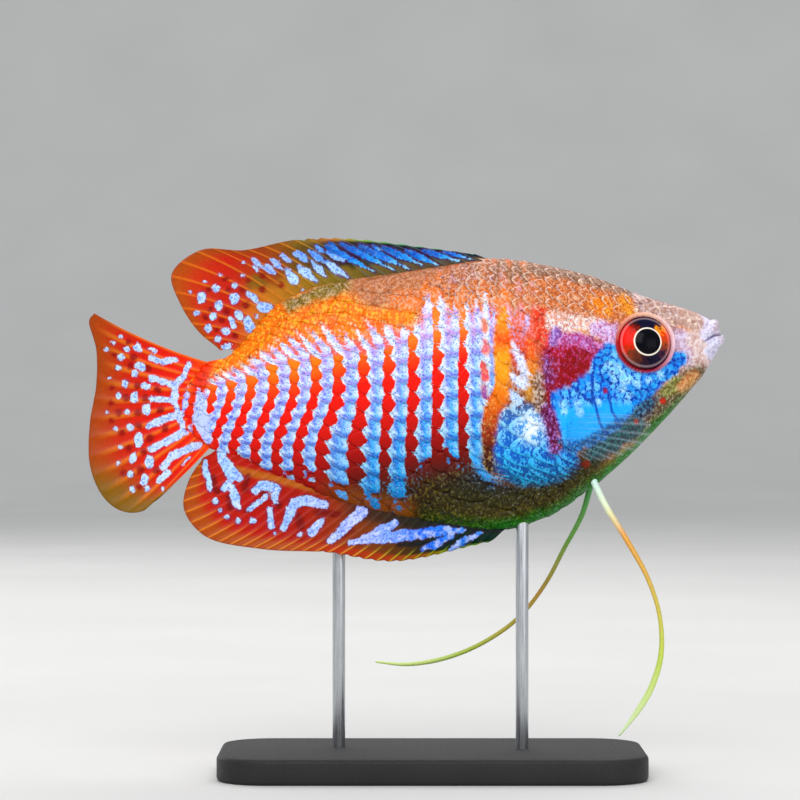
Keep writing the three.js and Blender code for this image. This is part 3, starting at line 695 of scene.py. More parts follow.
def bodyPaint(x, z, rims=None):  # warm, cool, pattern, specks and mottling, anywhere on the flesh
    warm, cool, pattern, mottle = flankPaint(x, z)

    def over(mask, dark, pale, line, stippled):  # lays colours over what is there
        nonlocal warm, cool, pattern, mottle
        warm, cool = mixed(warm, dark, mask), mixed(cool, pale, mask)
        pattern = pattern + (line - pattern) * mask
        mottle = mottle + (stippled - mottle) * mask

    head = ease(flank["front"] - 0.5, flank["front"] + 0.5, x + 0.5 * wander(x, z, 0.9, 7))
    column, middle = columnOf(stripeAt(x, z))
    # The columns of scales end in points
    tip = (2.2 * hashed(column, 1) + 0.2 - 8 * middle) * ease(0.5, 3, x) * ease(15.5, 14, x)
    above = ease(-0.2, 0.8, z - paleTopAt(x) - 0.4 - tip + 0.8 * wander(x, z, 0.8, 31))
    smooth = 1 - ease(-0.1, 0.25, pattern)  # the red stripes carry few specks
    base = ramp(x, [[14, "#c8642c"], [24, "#c87840"], [29, "#b88868"], [33, "#c09c90"], [37, "#c8bccc"]])
    over(np.maximum(head, above), base, base * 1.35, -0.1, 1)
    streak = ease(0.2, 0.08, middle) * ease(4, 1, z - paleTopAt(x)) * ease(0, 4, x) * (1 - head) * above

    # Belly: olive with a green edge
    rise = z - bellyAt(x)
    olive = ease(8.0, 4.0, rise + 1.2 * wander(x, z, 1.5, 32)) * ease(-1, 8, x) * ease(27, 22, x)
    over(olive, ramp(rise, [[0, "#34640c"], [2, "#3a340a"], [5, "#242410"], [8, "#0c2838"]]),
         ramp(rise, [[0, "#5c8418"], [2, "#605412"], [5, "#3a3c1a"], [8, "#144c6c"]]), -0.18, 0.9)
    # Breast: cyan scales edged with deep blue, and a white gleam, a painted highlight
    blueIn = within(breast["outline"], x, z) + 0.5 * wander(x, z, 0.8, 34)
    blue = ease(-0.3, 0.3, blueIn)
    # A painted highlight: a soft white gleam round one point of the breast
    paintedGleam = ease(2.4, 0.2, np.hypot(x - breast["paintedGleam"][0], (z - breast["paintedGleam"][1]) * 0.8))
    deep = ramp(z, [[33.5, "#063040"], [35, "#0a4c88"], [38, "#0c5cc8"], [41, "#1468c8"], [44, "#485880"]])
    lit = ramp(z, [[33.5, "#1880a0"], [35, "#20a4d8"], [38, "#38c0ff"], [41, "#84d4ff"], [44, "#b8d8f0"]])
    arcs = 0 * x if rims is None else np.maximum(0.7 * (rims + 0.3), -0.24)
    over(blue, mixed(deep, "#58b4f8", paintedGleam), mixed(lit, "#f4fcff", paintedGleam), arcs + 0.25 * paintedGleam, 0.8)
    for places, reach, softness, dark, pale, line in patches:
        away = nearLine(places, x, z - tip)[0] + 0.5 * wander(x, z, 0.8, 9)
        over(ease(reach + softness, reach - softness * 0.3, away), dark, pale, line, 1)

    over(0.7 * streak, warm, "#d8a4c4", 0.05, 0.9)

    # Pale net of the nape's scales, and the cells of the snout
    if rims is not None:
        net = ease(3, 7, x) * ease(-0.4, 0.3, z - napeLowAt(x)) * ease(29.5, 27, x)
        line = ease(-0.05, 0.12, rims) * net
        over(line, warm, "#fad0b4", 0.3, 0.3)
    edges, own = cobbles(x, z, 1.25, 2)
    snout = ease(0.3, -0.3, nearLine(seen([(648, 304), (676, 313), (696, 322)], -3), x, z)[0] - 1.1)
    cream = snout * ease(0.13, 0.02, edges)
    cells = ramp(own, [[0, "#a87c74"], [0.5, "#b48c84"], [1, "#bc907c"]])
    over(snout * (1 - cream), cells, "#ccaca0", -0.15, 1)
    over(cream, "#c8a094", "#e8ccbc", 0.1, 0.7)

    # Cheek and gill cover: blue cobbles over deep blue, running into smooth cyan
    blue = ease(-0.25, 0.15, within(cheek["blue"], x, z) + 0.5 * wander(x, z, 0.6, 8))
    cyan = ease(-0.5, 0.5, within(cheek["cyan"], x, z))
    edges, own = cobbles(x, z, 0.95, 4)
    pale = ramp(own, [[0.1, "#1094f0"], [0.5, "#2cb0f8"], [0.95, "#80dcff"]])
    over(blue, "#084ccc", pale, 1.1 * (edges - 0.1), 0.14)
    over(cyan * blue, "#0480e4", "#10b0ff", 0.25, 0.35)
    away = nearLine(cheek["deep"], x, z)[0]
    over(ease(1.3, 0.3, away) * blue, "#043c78", "#0c78c8", -0.05, 0.7)
    for place in seen(glows, -4):
        mask = ease(0.6, 0.15, np.hypot(x - place[0], z - place[1]) + 0.3 * wander(x, z, 0.5, 23)) * blue
        over(mask, warm, "#a4e6ff", 0.25, 0.8)
    for line in gillGrooves:
        over(ease(0.24, 0.04, nearLine(line, x, z)[0]) * blue * 0.85, "#0444b4", "#0460cc", -0.2, 0.6)
    # Purple flesh at the root of the pectoral fin
    away = nearLine(seen([(547, 410), (552, 428), (555, 449)], -4.7), x, z)[0]
    over(ease(1.0, 0.45, away + 0.4 * wander(x, z, 0.6, 30)), "#700c40", "#b070cc", -0.12, 0.8)
    green = ease(1.5, 0.35, rise * 0.72 + 0.5 * wander(x, z, 1.0, 39)) * ease(5, 12, x) * ease(34.5, 30, x)
    over(green, "#0a6410", "#2c8c1c", -0.02, 0.4)
    for place, reach, colour in spots:
        px, pz = seen(place, -4)
        over(ease(reach + 0.15, reach - 0.1, np.hypot(x - px, z - pz)), colour, colour, -0.4, 0.2)
    slit = ease(0.22, 0.04, nearLine(mouth["line"], x, z)[0]) * ease(34.7, 35.6, x)
    over(0.7 * slit, "#706890", "#706890", -0.2, 0)
    # The ring of skin round the eye
    dx, dz = x - eye["x"], z - eye["z"]
    ring = ease(0.42, 0.22, np.abs(np.hypot(dx, dz) - eye["tintAt"]))
    tint = ramp(np.arctan2(dz, dx) / (2 * np.pi) + 0.5, rimColours)
    over(ring, tint * 0.85, tint, 0.1, 0.4)
    # At the end of the flesh, a pale lens and a red arc under the tail fin
    arc = ease(1.2, 0.5, np.abs(np.hypot(x + 15.5, (z - 43.3) * 0.9) - 9.2)) * ease(-21.5, -23.5, x)
    over(arc, "#f42c00", "#f42c00", -0.4, 0)
    lens = stroked([(198, 387), (200, 400), (200, 420), (208, 441)], [1, 6, 9, 4], x, z, -1)
    over(ease(-0.1, 0.12, lens), "#d02010", "#c4d4ff", 0.35, 0)
    specked = np.maximum.reduce([1 - smooth, 0.8 * olive, 0.7 * head * ease(34, 30, x), 0.45 * above])
    specks = (0.12 + 0.88 * specked) * (1 - 0.75 * cyan * blue) * (1 - ring)
    return warm, cool, pattern, specks, mottle


# An unwrap of the body: the right flank's strip below, the left flank's above

unwrap = {"from": -27.6, "length": 66, "left": 0.5, "margin": 0.008}
girthX = np.linspace(body["tailEnd"], body["snout"], 130)
girthAngles = np.linspace(-np.pi / 2, np.pi / 2, 181)
girthPoints = bodyPoint(girthX[:, None], girthAngles[None, :])
girthTable = np.cumsum(
    np.linalg.norm(np.diff(girthPoints, axis=1, prepend=girthPoints[:, :1]), axis=-1), axis=1
)


def girthAt(x, angle):  # distance round the flank from the belly's edge, for an angle of the left flank
    i = np.interp(x, girthX, np.arange(len(girthX)))
    j = np.interp(angle, girthAngles, np.arange(len(girthAngles)))
    i0, j0 = np.minimum(i.astype(int), len(girthX) - 2), np.minimum(j.astype(int), len(girthAngles) - 2)
    u, v = i - i0, j - j0
    low = girthTable[i0, j0] * (1 - u) + girthTable[i0 + 1, j0] * u
    high = girthTable[i0, j0 + 1] * (1 - u) + girthTable[i0 + 1, j0 + 1] * u
    return low * (1 - v) + high * v


def unwrapped(x, angle, left):
    scale = (1 - 2 * unwrap["margin"]) / unwrap["length"]
    u = unwrap["margin"] + (x - unwrap["from"]) * scale
    v = unwrap["margin"] + girthAt(x, angle) * scale + np.where(left, unwrap["left"], 0)
    return np.stack([u, v], axis=-1)


# Skin: one closed mesh from the root of the tail fin to the lips

skin = {
    "stations": 110, "headStations": 255, "headFrom": 15.5, "around": 220,
    "capRings": 7, "tailCap": 0.5, "snoutCap": 0.2,
    "coatDepth": 0.27, "napeDepth": 0.2,
}
headEdge = [[14.9, 63], [15.6, 54], [16.8, 50], [16.6, 46], [16.9, 42], [18.2, 38.8], [20.6, 36], [22.6, 31]]
gill = {
    "edge": [[21, 52.2], [19.2, 51.9], [17.6, 51.3], [16.7, 50], [16.2, 48.2], [16, 46.2], [16, 44],
             [16.3, 42], [17, 40], [18.4, 38], [20.4, 36.4], [23.5, 35.6]],
    "height": 0.3, "slit": 0.22, "groove": 0.1, "grooveWidth": 0.25,
}
nostrils = {"places": [[31.5, 53.1, 0.42], [33.6, 53.2, 0.27]], "depth": 0.5, "rim": 0.13}
lips = {
    "upper": {"line": [[34.8, 1.75, 51.6], [35.8, 1.2, 52.5], [36.15, 0, 52.85]], "thick": 0.64, "thin": 0.4},
    "lower": {"line": [[35.4, 1.6, 50.2], [36.4, 1.15, 50.8], [36.85, 0, 51.05]], "thick": 0.58, "thin": 0.4},
}
mouth = {"line": [[35.0, 50.9], [36.2, 51.6], [38, 52.1]], "depth": 0.45, "width": 0.17}
jawLines = [  # [points, depth, half width]: creases of the cheek, the jaws and the throat
    [[[35.1, 50.8], [34.2, 49], [33.6, 47.2]], 0.2, 0.28],
    [[[33.6, 47.4], [31, 44.9], [27, 42], [23.4, 40.2], [20, 38.6]], 0.16, 0.3],
    [[[29.5, 42.4], [26, 39.6], [22.5, 36.8]], 0.1, 0.35],
    [[[24.4, 50.2], [23.6, 48], [23.7, 45.6], [25.4, 43.6], [28.4, 43]], 0.13, 0.28],
    [[[34.6, 51.4], [33, 50.6], [31.8, 49.4]], 0.1, 0.3],
    [[[33, 54.2], [34.6, 52.4], [34.8, 51.4]], 0.1, 0.25],
]


def coatDepthAt(x, z):
    away, side, _ = nearLine(headEdge, x, z)
    behind = ease(-0.4, 0.4, -away * side)
    nape = ease(-0.3, 0.3, z - napeLowAt(x)) * ease(29.5, 28.5, x)
    return np.maximum(skin["coatDepth"] * behind, skin["napeDepth"] * nape)


def eyeFrame(side):  # the eye's place on the flank and the way it looks
    x, z, reach = eye["x"], eye["z"], eye["reach"]
    forward = (flankAt(x - reach, z) - flankAt(x + reach, z)) / (2 * reach)
    upward = (flankAt(x, z - reach) - flankAt(x, z + reach)) / (2 * reach)
    look = np.array([forward, side, upward])
    return np.array([x, side * flankAt(x, z), z]), look / np.linalg.norm(look)


def lipLift(points, normals, lip):  # how far the skin rises to the surface of a lip's round form
    half = np.array(lip["line"])
    curve = curveThrough(np.vstack([half, half[-2::-1] * [1, -1, 1]]))
    shares = np.linspace(0, 1, 61)
    lift = np.full(len(points), -1.0)
    for share, centre in zip(shares, curve(shares)):
        radius = lip["thin"] + (lip["thick"] - lip["thin"]) * math.sin(share * math.pi)
        away = centre - points
        along = (away * normals).sum(-1)
        inside = radius**2 - ((away**2).sum(-1) - along**2)
        lift = np.maximum(lift, np.where(inside > 0, along + np.sqrt(np.maximum(inside, 0)), -1))
    return lift


def skinLift(points, normals):
    x, y, z = points.T
    lift = -coatDepthAt(x, z)
    # The gill cover's free edge stands over a slit
    away, side, along = nearLine(gill["edge"], x, z)
    ahead = away * side
    fade = ease(0, 0.12, along) * ease(1, 0.86, along)
    lift = lift + fade * (gill["height"] * ease(-0.05, 0.25, ahead) * ease(5.5, 1.5, ahead))
    lift = lift - fade * gill["slit"] * ease(0.5, 0.05, np.abs(ahead + 0.18))
    for line, depth, width in jawLines:
        lift = lift - depth * np.exp(-((nearLine(line, x, z)[0] / width) ** 2))
    for line in gillGrooves:
        lift = lift - gill["groove"] * np.exp(-((nearLine(line, x, z)[0] / gill["grooveWidth"]) ** 2))
    lift = lift + 0.05 * wander(x, z, 1.3, 40) + 0.03 * wander(x, z, 0.5, 41)
    for side in (-1, 1):
        centre, look = eyeFrame(side)
        offset = points - centre
        along = offset @ look
        radius = np.linalg.norm(offset - along[:, None] * look, axis=1)
        near = (y * side > 0) & (radius < eye["near"])
        middle = (eye["rimFrom"] + eye["rimTo"]) / 2
        ring = eye["rimHeight"] * np.sqrt(np.clip(1 - ((radius - middle) / eye["rimHalf"]) ** 2, 0, 1))
        crease = -eye["creaseDepth"] * np.exp(-(((radius - eye["creaseAt"]) / eye["creaseWidth"]) ** 2))
        socket = -eye["socket"] * ease(eye["rimFrom"] + 0.12, eye["rimFrom"] - 0.12, radius)
        faded = lift * ease(eye["skinFrom"], eye["skinTo"], radius)
        lift = np.where(near, faded + ring + crease + socket, lift)
        for nx, nz, size in nostrils["places"]:
            away = np.where(y * side > 0, np.hypot(x - nx, z - nz), 9)
            rim = nostrils["rim"] * np.exp(-(((away - size * 1.5) / (size * 0.45)) ** 2))
            lift = lift - nostrils["depth"] * ease(size, size * 0.4, away) + rim
    front = x > 33
    slit = mouth["depth"] * np.exp(-((nearLine(mouth["line"], x, z)[0] / mouth["width"]) ** 2))
    lift[front] -= (slit * ease(34.9, 35.5, x))[front]
    for lip in lips.values():
        raised = lipLift(points[front], normals[front], lip)
        lift[front] = np.maximum(lift[front], raised)
    return lift


def ringsOf(points):  # outward normals of rings of points, each ring closed on itself
    along = np.gradient(points, axis=0)
    around = np.roll(points, -1, axis=1) - np.roll(points, 1, axis=1)
    normals = np.cross(around, along)
    size = np.linalg.norm(normals, axis=-1, keepdims=True)
    return normals / np.maximum(size, 1e-9)


def makeSkin():
    turn = np.linspace(np.pi / 2, 0, skin["capRings"], endpoint=False)
    trunkX = np.linspace(body["tailEnd"], skin["headFrom"], skin["stations"], endpoint=False)
    headX = np.linspace(skin["headFrom"], body["snout"], skin["headStations"])
    xs = np.concatenate([
        body["tailEnd"] - skin["tailCap"] * np.sin(turn), trunkX, headX,
        body["snout"] + skin["snoutCap"] * np.sin(turn[::-1]),
    ])
    shrink = np.concatenate([np.cos(turn), np.ones(len(trunkX) + len(headX)), np.cos(turn[::-1])])
    angles = np.linspace(0, 2 * np.pi, skin["around"], endpoint=False)
    form = bodyPoint(np.clip(xs, body["tailEnd"], body["snout"])[:, None], angles[None, :])
    centre = form.mean(axis=1, keepdims=True)
    form = centre + (form - centre) * shrink[:, None, None]
    form[..., 0] = xs[:, None]
    normals = ringsOf(form)
    normals[0], normals[-1] = [-1, 0, 0], [1, 0, 0]
    flat, flatNormals = form.reshape(-1, 3), normals.reshape(-1, 3)
    lift = skinLift(flat, flatNormals).reshape(len(xs), -1)
    lift[0], lift[-1] = lift[0].mean(), lift[-1].mean()
    form = form + normals * lift[..., None]

    piece, across, up = grid("skin", len(xs) - 1, skin["around"])
    ring = np.round(across * (len(xs) - 1)).astype(int)
    step = np.round(up * skin["around"]).astype(int)
    turned = step % skin["around"]
    place(piece, form[ring, turned])
    corners = cornersOf(piece)
    middles = np.array([p.center.y for p in piece.data.polygons])
    left = np.repeat(middles > 0, [p.loop_total for p in piece.data.polygons])
    newMap(piece, "OFBake", unwrapped(xs[ring][corners], np.arcsin(np.sin(angles[turned]))[corners], left))
    base = flat.reshape(len(xs), -1, 3)[ring, turned]
    paint(piece, base[:, 0], base[:, 2])
    edited(piece, (bpy.ops.mesh.remove_doubles, {"threshold": 1e-7}), outwards)
    return piece


def paint(piece, x, z, rims=None):
    for name, values in zip(("warm", "cool", "pattern", "specks", "mottle"), bodyPaint(x, z, rims)):
        store(piece, name, values)


# Scales: closed plates that overlap towards the tail, modelled once and laid out over the lattice

plate = {"thickness": 0.07, "rise": 0.17, "dome": 0.035, "floor": 0.02, "facesAlong": 6, "facesAcross": 6,
         "corner": 0.62, "length": 0.95, "width": 0.49, "jitter": 0.02,  # lengths in stripes, widths in rows
         "columns": (-9, 28), "rows": (-11, 11), "tailEnd": -25.6, "napeFrom": 9}


def plateTemplate():  # a plate's share along, across and through, its faces and their corners
    piece, _, _ = grid("plateTemplate", plate["facesAlong"], plate["facesAcross"])
    applied(piece, "SOLIDIFY", thickness=1, offset=0)
    co = verticesOf(piece) * mm
    faces = [tuple(p.vertices) for p in piece.data.polygons]
    bpy.data.objects.remove(piece)
    share, across = co[:, 0] + 0.5, 2 * co[:, 1]
    reach = 1 - (1 - plate["corner"]) * np.abs(across) ** 1.8
    return share * reach, across, np.sign(co[:, 2]), np.array(faces), (1 - share) * reach


def layPlates(name, x, angle, left, lifts, roots, cells, material, rims):
    # x and angle are rows of plates by template vertices; angles are those of the left flank
    along, across, _, faces, _ = template
    turned = np.where(left[:, None], angle, np.pi - angle)
    points = bodyPoint(x, turned) + bodyNormal(x, turned) * lifts[..., None]
    count, size = x.shape
    mesh = bpy.data.meshes.new(name)
    every = (faces[None] + (np.arange(count) * size)[:, None, None]).reshape(-1, faces.shape[1])
    mesh.from_pydata((points.reshape(-1, 3) * mm).tolist(), [], every.tolist())
    piece = added(name, mesh)
    home = unwrapped(roots[0], roots[1], left)[:, None]
    patch = np.stack([-along[None] * cells[0][:, None], across[None] * cells[1][:, None]], -1)
    bakeMap(piece, (home + patch / unwrap["length"]).reshape(-1, 2))
    z = points[..., 2]
    paint(piece, x.ravel(), z.ravel(), rims=rims.ravel())
    edited(piece, outwards)
    finished(piece, material, "skin")


def makeFlankScales(side, material):
    along, across, level, _, behind = template
    columns, rows = np.meshgrid(np.arange(*plate["columns"]), np.arange(*plate["rows"]), indexing="ij")
    stripe = columns.ravel() / 2 - plate["length"] + lattice["firstEdge"]
    row = rows.ravel() + 0.5 * (columns.ravel() % 2)
    middleX, middleZ = latticePlace(stripe + 0.6, row)
    room = rowHeightAt(middleX)
    keep = (middleZ < backAt(middleX) - 0.25 * room) & (middleZ > bellyAt(middleX) + 0.3 * room)
    away, ahead, _ = nearLine(headEdge, middleX, middleZ)
    keep &= (away * ahead < 0.2) & (middleX > plate["tailEnd"])
    keep &= ~((middleX > plate["napeFrom"]) & (middleZ > napeLowAt(middleX) + 0.3))
    stripe, row = stripe[keep], row[keep]
    x, z = latticePlace(stripe[:, None] + along * plate["length"], row[:, None] + across * plate["width"])
    x = np.clip(x, body["tailEnd"], body["snout"])
    top, bottom, _, _ = section(x)
    angle = angleAt(x, np.clip(z, bottom + 0.02, top - 0.02))
    jitter = random.uniform(-plate["jitter"], plate["jitter"], len(stripe))[:, None]
    lifts = (plate["floor"] + plate["rise"] * along + plate["dome"] * (1 - across**2) + jitter
             + level * plate["thickness"] / 2 * (1 - 0.4 * along) - skin["coatDepth"])
    rootX, rootZ = latticePlace(stripe + 0.1, row)
    rims = 0.3 - np.broadcast_to(behind, x.shape) * plate["length"] * 2.6
    cells = (np.full(len(stripe), 1.3), 0.42 * rowHeightAt(rootX))
    left = np.full(len(stripe), side > 0)
    layPlates("scales" + ("Left" if side > 0 else "Right"), x, angle, left, lifts,
              (rootX, angleAt(rootX, rootZ)), cells, material, rims)


nape = {"columnStep": 1.3, "rowStep": 1.5, "length": 2.3, "from": 9.6, "to": 29.2, "rows": 8,
        "floor": 0.01, "rise": 0.15, "half": 0.03, "jitter": 0.015}
cheekPlate = {"columnStep": 0.86, "rowStep": 0.98, "x": 21.5, "z": 43, "length": 1.3,
              "least": 0.85, "most": 1.08, "rise": 0.14, "dome": 0.06, "half": 0.03}


def makeNapeScales(material):
    along, across, level, _, behind = template
    centres = []
    for i, x in enumerate(np.arange(nape["from"], nape["to"], nape["columnStep"])):
        angles = np.linspace(np.pi / 2, -0.2, 400)
        down = lengthAlong(bodyPoint(np.full(400, x), angles))
        for j in range(nape["rows"]):
            gone = (j + 0.5 * (i % 2)) * nape["rowStep"]
            angle = np.interp(gone, down, angles)
            z = bodyPoint(np.array(x), np.array(angle))[2]
            metric = np.interp(gone + 0.3, down, angles) - np.interp(max(gone - 0.3, 0), down, angles)
            metric = abs(metric) / (0.3 + min(gone, 0.3))
            if z > napeLowAt(x) - 0.2:
                centres.append([x, angle, metric, 1])
                if gone > 0:
                    centres.append([x, angle, metric, -1])
    centres = np.array(centres)
    grow = ease(30, 20, centres[:, 0]) * 0.25 + 0.75
    x = centres[:, :1] + (0.45 - along) * nape["length"] * grow[:, None]
    angle = centres[:, 1:2] + across * 0.5 * nape["rowStep"] * centres[:, 2:3]
    left = centres[:, 3] > 0
    lifts = (nape["floor"] + nape["rise"] * along + plate["dome"] * (1 - across**2)
             + level * nape["half"] - skin["napeDepth"]
             + random.uniform(-nape["jitter"], nape["jitter"], len(centres))[:, None])
    rims = 0.23 - np.broadcast_to(behind, x.shape) * nape["length"]
    cells = (np.full(len(centres), 1.2), np.full(len(centres), 0.68))
    roots = (centres[:, 0], np.minimum(centres[:, 1], np.pi / 2))
    layPlates("scalesNape", x, angle, left, lifts, roots, cells, material, rims)


def makeCheekScales(material):
    along, across, level, _, behind = template
    i, j = np.meshgrid(np.arange(-2, 20), np.arange(-2, 12), indexing="ij")
    x0 = cheekPlate["x"] + i.ravel() * cheekPlate["columnStep"]
    z0 = cheekPlate["z"] + (j.ravel() + 0.5 * (i.ravel() % 2)) * cheekPlate["rowStep"]
    away = nearLine(cheek["scales"], x0, z0)[0]
    outside = np.hypot(x0 - eye["x"], z0 - eye["z"]) > eye["rimTo"] + 0.75
    keep = (away < cheek["reach"] + 0.2) & outside
    x0, z0 = x0[keep], z0[keep]
    size = random.uniform(cheekPlate["least"], cheekPlate["most"], len(x0))[:, None]
    x = x0[:, None] + (0.5 - along) * cheekPlate["length"] * size
    z = z0[:, None] + across * 0.5 * cheekPlate["rowStep"] * size
    angle = angleAt(x, z)
    lifts = (cheekPlate["rise"] * along + cheekPlate["dome"] * (1 - across**2)
             + level * cheekPlate["half"] - cheekPlate["half"])
    lifts = np.broadcast_to(lifts, x.shape)
    both = [np.concatenate([v, v]) for v in (x, angle, lifts, x0, angleAt(x0, z0))]
    left = np.arange(len(both[0])) < len(x0)
    cells = (np.full(len(both[0]), 0.8), np.full(len(both[0]), 0.45))
    rims = 0.1 - np.broadcast_to(behind, both[0].shape) * cheekPlate["length"]
    layPlates("scalesCheek", both[0], both[1], left, both[2], (both[3], both[4]), cells, material, rims)


# Fins: a thin web between rays that stand out on both faces

fins = {
    "dorsal": {
        "root": [[9.2, 60.7], [0, 59.4], [-6.6, 58.4], [-11.4, 57.4], [-14.3, 55.9], [-16.3, 54.5],
                 [-18.1, 52.9], [-19.5, 51.2], [-20.4, 49.9]],
        "edge": [[7.8, 61.2], [-7.2, 63], [-13.3, 62.8], [-19.2, 61.6], [-24.2, 61.6], [-27.6, 58.8],
                 [-26.7, 55.5], [-24.6, 52.2], [-21.9, 49.9]],
        "rays": 25, "spines": 11, "scallop": 0.4, "sink": 2.2, "bow": [0.45, 0.45], "rows": 46,
        "wave": lambda t, v: 0.7 * v * v * np.sin(t * 7),
    },
    "anal": {
        "root": [[11.2, 28.5], [3, 29.6], [-3.2, 30.8], [-8.8, 32.2], [-14.3, 34.3], [-17.6, 35.9],
                 [-20.2, 37.1], [-22.6, 38]],
        "edge": [[9.6, 27.3], [-1.5, 25], [-9.6, 26.1], [-17, 26.5], [-23.7, 28], [-26.2, 31.2],
                 [-25.6, 34.6], [-23.9, 37.2]],
        "rays": 32, "spines": 14, "scallop": 0.25, "sink": 2.2, "bow": [-0.45, -0.45], "rows": 44,
        "wave": lambda t, v: 0.7 * v * v * np.sin(1 + t * 6.5),
    },
    "caudal": {
        "root": [[-23.2, 48.4], [-23.2, 38.3]],
        "edge": [[-36.8, 54.2], [-37.4, 53.4], [-36.6, 50], [-36.6, 45.7], [-37.3, 41.2], [-37.2, 36.2],
                 [-35.6, 32.6], [-33.5, 31], [-31.2, 30.9], [-29.4, 32.3]],
        "rays": 15, "spines": 0, "scallop": 0, "sink": 0, "bow": [-0.5, -0.2], "rows": 60,
        "wave": lambda t, v: 1.1 * v * v * np.sin(0.6 + t * 4.6),
    },
    "pectoral": {
        "root": [[18, -4.75, 42.3], [18.3, -4.75, 41], [18.5, -4.65, 39.8], [18.4, -4.5, 38.7]],
        "edge": [[26.4, -5.3, 42.2], [28.3, -5.6, 41.4], [28, -5.9, 39.7], [26, -6, 38.1],
                 [23.5, -5.8, 37.1], [21.2, -5.3, 37]],
        "rays": 10, "spines": 0, "scallop": 0, "sink": 1.2, "bow": [0.2, -0.1], "rows": 40,
        "wave": lambda t, v: -1.6 * v * (1 - v) * (0.4 + 0.6 * t),
    },
}
finSizes = {"perRay": 8, "web": 0.2, "ray": 0.3, "rayWidth": 0.2, "spacing": 1.2, "tip": 0.45, "longRay": 10}


def makeFin(name, spec):  # the web is a grid, given its thickness by a weighted Solidify
    rootAt, edgeAt = (curveThrough([[p[0], 0, p[1]] if len(p) == 2 else p for p in spec[line]])
                      for line in ("root", "edge"))
    columns = (spec["rays"] - 1) * finSizes["perRay"]
    piece, t, up = grid(name, columns, spec["rows"])
    shares = np.linspace(0, 1, 400)
    gone = sum(lengthAlong(line(shares)) for line in (rootAt, edgeAt))
    even = np.interp(t, gone / gone[-1], shares)
    start, end = rootAt(even), edgeAt(even)
    length = np.linalg.norm(end - start, axis=1)
    ray = t * (spec["rays"] - 1)
    between = wave(ray)
    spined = ray < spec["spines"]
    notch = np.where(spined, np.minimum(spec["scallop"] / length, 0.25) * between**1.5, 0)
    sink = -spec["sink"] / length
    v = sink + up * (1 - notch - sink)
    points = start + (end - start) * v[:, None]
    arch = 4 * np.maximum(0, v * (1 - v)) * np.minimum(1, length / finSizes["longRay"])
    points[:, 2] += (spec["bow"][0] + (spec["bow"][1] - spec["bow"][0]) * t) * arch
    points[:, 1] += spec["wave"](t, np.maximum(v, 0))
    place(piece, points)
    nearRay = np.abs(ray - np.round(ray))
    ridge = np.exp(-((nearRay * finSizes["spacing"] / finSizes["rayWidth"]) ** 2))
    thick = (finSizes["web"] + finSizes["ray"] * ridge) * (1 - (1 - finSizes["tip"]) * np.clip(v, 0, 1))
    weights = piece.vertex_groups.new(name="thickness")
    thickest = finSizes["web"] + finSizes["ray"]
    for i, weight in enumerate((thick / thickest).tolist()):
        weights.add([i], weight, "REPLACE")
    warm, cool, pattern, clear = finPaint[name](points[:, 0], points[:, 2], np.clip(v, 0, 1), nearRay)
    specks, mottle = 0.2 + 0.7 * ease(-0.05, 0.05, pattern), np.full(len(v), 0.1)
    for key, values in {"warm": warm, "cool": cool, "pattern": pattern, "clear": clear,
                        "specks": specks, "mottle": mottle}.items():
        store(piece, key, values)
    bakeMap(piece, np.stack([0.01 + 0.98 * t, 0.01 + 0.485 * up], -1))
    applied(piece, "SOLIDIFY", thickness=thickest * mm, offset=0, vertex_group="thickness",
            thickness_vertex_group=0.0)
    edited(piece, outwards)
    return piece


def marked(marks, x, z):  # positive inside the marks
    x, z = x + 0.3 * wander(x, z, 0.7, 65), z + 0.3 * wander(x, z, 0.7, 66)
    best = np.full(np.shape(x), -9.0)
    for mark in marks:
        line, reach = mark if len(mark) == 2 else ([mark[:2]], mark[2])
        best = np.maximum(best, stroked(line, reach, x, z, 0))
    return best


